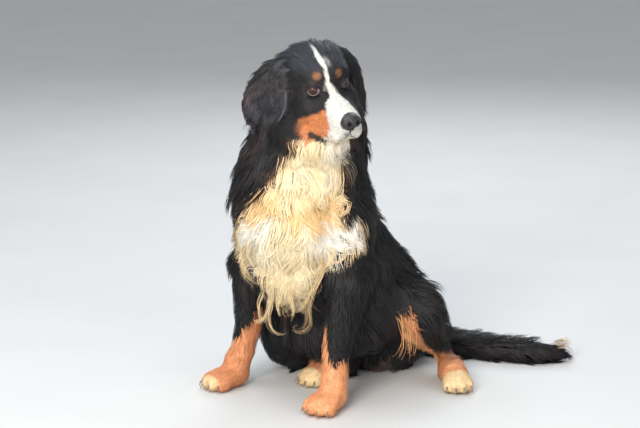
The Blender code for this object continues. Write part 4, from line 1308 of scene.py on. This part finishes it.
def eye_finish():
    """Pupil, iris, dark ring and white, painted by the angle from the pole."""
    material, tree, shader = finish("eye_ball")
    angle = tree.nodes.new("ShaderNodeAttribute")
    angle.attribute_name = "from_pole"
    where = tree.nodes.new("ShaderNodeTexCoord")
    streaks = tree.nodes.new("ShaderNodeTexNoise")
    streaks.inputs["Scale"].default_value = 900.0
    tree.links.new(where.outputs["Object"], streaks.inputs["Vector"])
    ramp = tree.nodes.new("ShaderNodeValToRGB")
    bands = ramp.color_ramp
    bands.elements[0].position, bands.elements[0].color = 0.0, (0.002, 0.002, 0.002, 1)
    bands.elements[1].position, bands.elements[1].color = 1.0, (0.16, 0.10, 0.09, 1)
    for place, colour in (
        (0.200, (0.002, 0.002, 0.002, 1)),
        (0.235, (0.030, 0.012, 0.009, 1)),
        (0.420, (0.082, 0.030, 0.019, 1)),
        (0.520, (0.042, 0.016, 0.011, 1)),
        (0.560, (0.010, 0.006, 0.005, 1)),
        (0.640, (0.160, 0.100, 0.090, 1)),
    ):
        bands.elements.new(place).color = colour
    tree.links.new(angle.outputs["Fac"], ramp.inputs["Fac"])
    spread = tree.nodes.new("ShaderNodeMapRange")
    spread.inputs["To Min"].default_value = 0.6
    spread.inputs["To Max"].default_value = 1.4
    tree.links.new(streaks.outputs["Fac"], spread.inputs["Value"])
    times = tree.nodes.new("ShaderNodeMix")
    times.data_type, times.blend_type = "RGBA", "MULTIPLY"
    times.inputs["Factor"].default_value = 1.0
    tree.links.new(ramp.outputs["Color"], times.inputs["A"])
    tree.links.new(spread.outputs["Result"], times.inputs["B"])
    tree.links.new(times.outputs["Result"], shader.inputs["Base Color"])
    shader.inputs["Roughness"].default_value = 0.5
    shader.inputs["Specular IOR Level"].default_value = 0.0
    shader.inputs["Coat Weight"].default_value = 1.0
    shader.inputs["Coat IOR"].default_value = 1.50
    shader.inputs["Coat Roughness"].default_value = 0.02
    return material


eye_paint = eye_finish()
gaze = {}
for side, sign in (("left", 1), ("right", -1)):
    centre, outward, across, upward = eyes[side]
    look = unit(head_turn @ np.array(GAZE[side]))
    gaze[side] = look
    bpy.ops.object.select_all(action="DESELECT")
    bpy.ops.mesh.primitive_uv_sphere_add(segments=48, ring_count=36, radius=EYE_RADIUS, location=(0, 0, 0))
    ball = bpy.context.object
    ball.name = f"eyeball_{side}"
    points = np.array([v.co for v in ball.data.vertices])
    tilt = np.arccos(np.clip(points[:, 2] / EYE_RADIUS, -1, 1))
    bulge = 1 + 0.055 * fade(tilt, 0.78, 0.45)
    points *= bulge[:, None]
    turn = np.array(Vector((0, 0, 1)).rotation_difference(Vector(look)).to_matrix())
    set_points(ball.data, points @ turn.T + centre)
    layer = ball.data.attributes.new("from_pole", "FLOAT", "POINT")
    layer.data.foreach_set("value", (tilt / (math.pi / 2)).astype(np.float32))
    take(ball)
    bpy.ops.object.shade_smooth()
    ball.data.materials.append(eye_paint)
    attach(ball, "root")
    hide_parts(f"eye_{side}")
print("eyes look along", gaze["left"].round(2), gaze["right"].round(2))

# %% [markdown]
# ## Lid rims
#
# The bare rim of the lids is a thin dark band, a little pink at the inner corner. It is a closed
# tube that follows the almond of the opening, half sunk in the lid, and it hides the place where
# the skin turns in behind the ball.


# %% Make the lid rims
def tube(name, line, radii, around=8, closed=False, paint=None):
    """A closed tube along a line, in the drawing's frame, with a radius for each point."""
    line, radii = np.asarray(line, float), np.asarray(radii, float)
    count = len(line)
    if closed:
        run = unit(np.roll(line, -1, 0) - np.roll(line, 1, 0))
    else:
        run = unit(np.gradient(line, axis=0))
    reference = np.array((0.31, 0.17, 0.94))
    first = unit(np.cross(run, reference))
    second = np.cross(run, first)
    turn = np.linspace(0, 2 * math.pi, around, endpoint=False)
    ring = (
        line[:, None]
        + first[:, None] * np.cos(turn)[None, :, None] * radii[:, None, None]
        + second[:, None] * np.sin(turn)[None, :, None] * radii[:, None, None]
    )
    faces = []
    for k in range(count if closed else count - 1):
        a, b = k * around, ((k + 1) % count) * around
        faces += [(a + i, a + (i + 1) % around, b + (i + 1) % around, b + i) for i in range(around)]
    if not closed:
        faces += [tuple(range(around))[::-1], tuple((count - 1) * around + i for i in range(around))]
    mesh = bpy.data.meshes.new(name)
    mesh.from_pydata((ring.reshape(-1, 3) - BODY_SHIFT).tolist(), [], faces)
    mesh.update()
    made = bmesh.new()
    made.from_mesh(mesh)
    bmesh.ops.recalc_face_normals(made, faces=made.faces)
    made.to_mesh(mesh)
    made.free()
    mesh.polygons.foreach_set("use_smooth", np.ones(len(mesh.polygons), bool))
    piece = bpy.data.objects.new(name, mesh)
    bpy.context.scene.collection.objects.link(piece)
    if paint:
        mesh.materials.append(paint)
    return piece


def damp_finish(name, dark, light, roughness, scale):
    """Bare, damp skin: two tones mottled together, with a fine bump."""
    material, tree, shader = finish(name)
    where = tree.nodes.new("ShaderNodeTexCoord")
    noise = tree.nodes.new("ShaderNodeTexNoise")
    noise.inputs["Scale"].default_value = scale
    noise.inputs["Detail"].default_value = 4.0
    ramp = tree.nodes.new("ShaderNodeValToRGB")
    ramp.color_ramp.elements[0].position, ramp.color_ramp.elements[0].color = 0.35, (*dark, 1)
    ramp.color_ramp.elements[1].position, ramp.color_ramp.elements[1].color = 0.68, (*light, 1)
    raised = tree.nodes.new("ShaderNodeBump")
    raised.inputs["Strength"].default_value = 0.4
    raised.inputs["Distance"].default_value = 0.0006
    tree.links.new(where.outputs["Object"], noise.inputs["Vector"])
    tree.links.new(noise.outputs["Fac"], ramp.inputs["Fac"])
    tree.links.new(ramp.outputs["Color"], shader.inputs["Base Color"])
    tree.links.new(noise.outputs["Fac"], raised.inputs["Height"])
    tree.links.new(raised.outputs["Normal"], shader.inputs["Normal"])
    shader.inputs["Roughness"].default_value = roughness
    return material


rim_paint = fur_finish("lid_skin", 500.0, 0.4, 0.3, 0.5)
for side, sign in (("left", 1), ("right", -1)):
    centre, outward, across, upward = eyes[side]
    turn = np.linspace(0, 2 * math.pi, 56, endpoint=False)
    wide, high = OPENING[0] * np.cos(turn), OPENING[1] * np.sin(turn)
    tilt = np.hypot(wide, high)
    around = (across * wide[:, None] + upward * high[:, None]) / tilt[:, None]
    direction = outward * np.cos(tilt)[:, None] + around * np.sin(tilt)[:, None]
    line = centre + direction * (EYE_RADIUS + 0.0008)
    corner = fade(np.cos(turn) * np.sign(across @ head_turn[:, 1]) * -sign, 0.72, 1.0)
    lower = fade(-np.sin(turn), -0.15, 0.5)
    rim = tube(f"lid_rim_{side}", line, 0.0013 + 0.0004 * lower + 0.0022 * corner, closed=True, paint=rim_paint)
    pink = EYE_SKIN * (1.0 if side == "right" else 0.22)
    tones = laid(1.25 * pink, laid(0.9 * pink, np.tile(BLACK * 0.8, (len(line), 1)), 0.9 * lower), 0.9 * corner)
    store_colour(rim.data, np.repeat(tones, 8, 0))
    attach(rim, "root")
print("rims made")

# %% [markdown]
# ## Nose leather
#
# The nose is bare, cobbled skin. The CAD solid has its shape and nostrils, so a copy is remeshed
# fine and smoothed, and the material adds the cobbles as a bump from cells.
# Its colour is painted lighter on top and darker underneath and in the nostrils, as light and shade.

# %% Make the nose
nose = copy_of(["nose"], "nose_leather")
apply(nose, "REMESH", mode="VOXEL", voxel_size=0.0008, adaptivity=0.0)
apply(nose, "SMOOTH", factor=0.6, iterations=6)
nose_points, nose_outs = points_of(nose.data), normals_of(nose.data)
# Painted light and shade: the leather is lighter on top and darker underneath.
nose_underside_shade = fade(-in_head(nose_points)[:, 2], 0.022, 0.036)
nose_light_and_shade = np.repeat((1.25 - 0.85 * nose_underside_shade)[:, None], 3, 1)
# Each nostril is pressed in and painted dark, as shade inside it.
for sign in (1, -1):
    away = np.linalg.norm((in_head(nose_points) - (0.1700, 0.0108 * sign, -0.0290)) / (1.4, 1.0, 1.0), axis=1)
    nostril_pit_shade = fade(0.0062 - away, 0.0, 0.0045)
    nose_points -= nose_outs * (nostril_pit_shade * 0.0028)[:, None]
    nose_light_and_shade *= (1 - 0.9 * nostril_pit_shade)[:, None]
set_points(nose.data, nose_points)
store_colour(nose.data, nose_light_and_shade)
take(nose)
bpy.ops.object.shade_smooth()
leather, tree, shader = finish("nose_cobbles")
where = tree.nodes.new("ShaderNodeTexCoord")
cells = tree.nodes.new("ShaderNodeTexVoronoi")
cells.inputs["Scale"].default_value = 700.0
noise = tree.nodes.new("ShaderNodeTexNoise")
noise.inputs["Scale"].default_value = 120.0
ramp = tree.nodes.new("ShaderNodeValToRGB")
ramp.color_ramp.elements[0].color = (0.009, 0.008, 0.009, 1)
ramp.color_ramp.elements[1].color = (0.032, 0.028, 0.030, 1)
raised = tree.nodes.new("ShaderNodeBump")
raised.inputs["Strength"].default_value = 0.55
raised.inputs["Distance"].default_value = 0.0005
raised.invert = True
tree.links.new(where.outputs["Object"], cells.inputs["Vector"])
tree.links.new(where.outputs["Object"], noise.inputs["Vector"])
tree.links.new(noise.outputs["Fac"], ramp.inputs["Fac"])
tone = tree.nodes.new("ShaderNodeAttribute")
tone.attribute_name = "coat_colour"
times = tree.nodes.new("ShaderNodeMix")
times.data_type, times.blend_type = "RGBA", "MULTIPLY"
times.inputs["Factor"].default_value = 1.0
tree.links.new(ramp.outputs["Color"], times.inputs["A"])
tree.links.new(tone.outputs["Color"], times.inputs["B"])
tree.links.new(times.outputs["Result"], shader.inputs["Base Color"])
tree.links.new(cells.outputs["Distance"], raised.inputs["Height"])
tree.links.new(raised.outputs["Normal"], shader.inputs["Normal"])
shader.inputs["Roughness"].default_value = 0.42
shader.inputs["Coat Weight"].default_value = 0.15
shader.inputs["Coat Roughness"].default_value = 0.3
nose.data.materials.append(leather)
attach(nose, "root")
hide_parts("nose")
print("nose:", len(nose.data.polygons), "faces")

# %% [markdown]
# ## Lips
#
# Under the nose a short groove runs down to the mouth, and the dark lip edge runs back to each
# corner. It is a thin roll that lies on the skin, so its path is laid onto the skin point by point.

# %% Lay the lip edge on the skin
surface = BVHTree.FromPolygons([Vector(p) for p in skin_points], corners.tolist())
LIP_PATH = (
    (0.168, 0.000, -0.050),
    (0.160, 0.001, -0.060),
    (0.154, 0.003, -0.070),
    (0.150, 0.012, -0.078),
    (0.143, 0.023, -0.085),
    (0.126, 0.033, -0.092),
    (0.110, 0.037, -0.095),
    (0.100, 0.042, -0.092),
)
lip_paint = damp_finish("lip_edge", (0.010, 0.008, 0.009), (0.045, 0.032, 0.032), 0.4, 300.0)
for side, sign in (("left", 1), ("right", -1)):
    stations = np.array(LIP_PATH) * (1, sign, 1)
    fine = np.stack([np.interp(np.linspace(0, 7, 40), range(8), stations[:, k]) for k in range(3)], 1)
    fine = np.stack([np.convolve(np.pad(fine[:, k], 2, "edge"), np.ones(5) / 5, "valid") for k in range(3)], 1)
    line = []
    for place in from_head(fine):
        spot, normal, _, _ = surface.find_nearest(Vector(place))
        line.append(np.array(spot) + np.array(normal) * 0.0006)
    line = blurred(np.array(line), np.stack((np.arange(39), np.arange(1, 40)), 1), 2)
    radii = np.interp(np.linspace(0, 1, 40), (0, 0.15, 0.8, 1), (0.0010, 0.0011, 0.0013, 0.0008))
    lip = tube(f"lip_{side}", line, radii, paint=lip_paint)
    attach(lip, "root")
print("lips laid")

# %% [markdown]
# ## Claws
#
# Claws are horn, darker at the root. The CAD claws have the right place and curve, so each copy is
# made smooth by a subdivision surface, and a gradient down each claw is not needed at this size:
# a fine mottle in the horn is enough.

# %% Smooth the claws and give them horn
horn, tree, shader = finish("claw_horn")
where = tree.nodes.new("ShaderNodeTexCoord")
noise = tree.nodes.new("ShaderNodeTexNoise")
noise.inputs["Scale"].default_value = 260.0
ramp = tree.nodes.new("ShaderNodeValToRGB")
ramp.color_ramp.elements[0].color = (0.110, 0.082, 0.060, 1)
ramp.color_ramp.elements[1].color = (0.330, 0.260, 0.180, 1)
tree.links.new(where.outputs["Object"], noise.inputs["Vector"])
tree.links.new(noise.outputs["Fac"], ramp.inputs["Fac"])
tree.links.new(ramp.outputs["Color"], shader.inputs["Base Color"])
shader.inputs["Roughness"].default_value = 0.38
for foot in FEET:
    for toe in range(1, 5):
        node = f"claw_{foot}_{toe}"
        claw = copy_of([node], f"smooth_{node}")
        apply(claw, "SUBSURF", levels=1, render_levels=1)
        take(claw)
        bpy.ops.object.shade_smooth()
        claw.data.materials.append(horn)
        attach(claw, "root")
        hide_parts(node)
print("claws made")
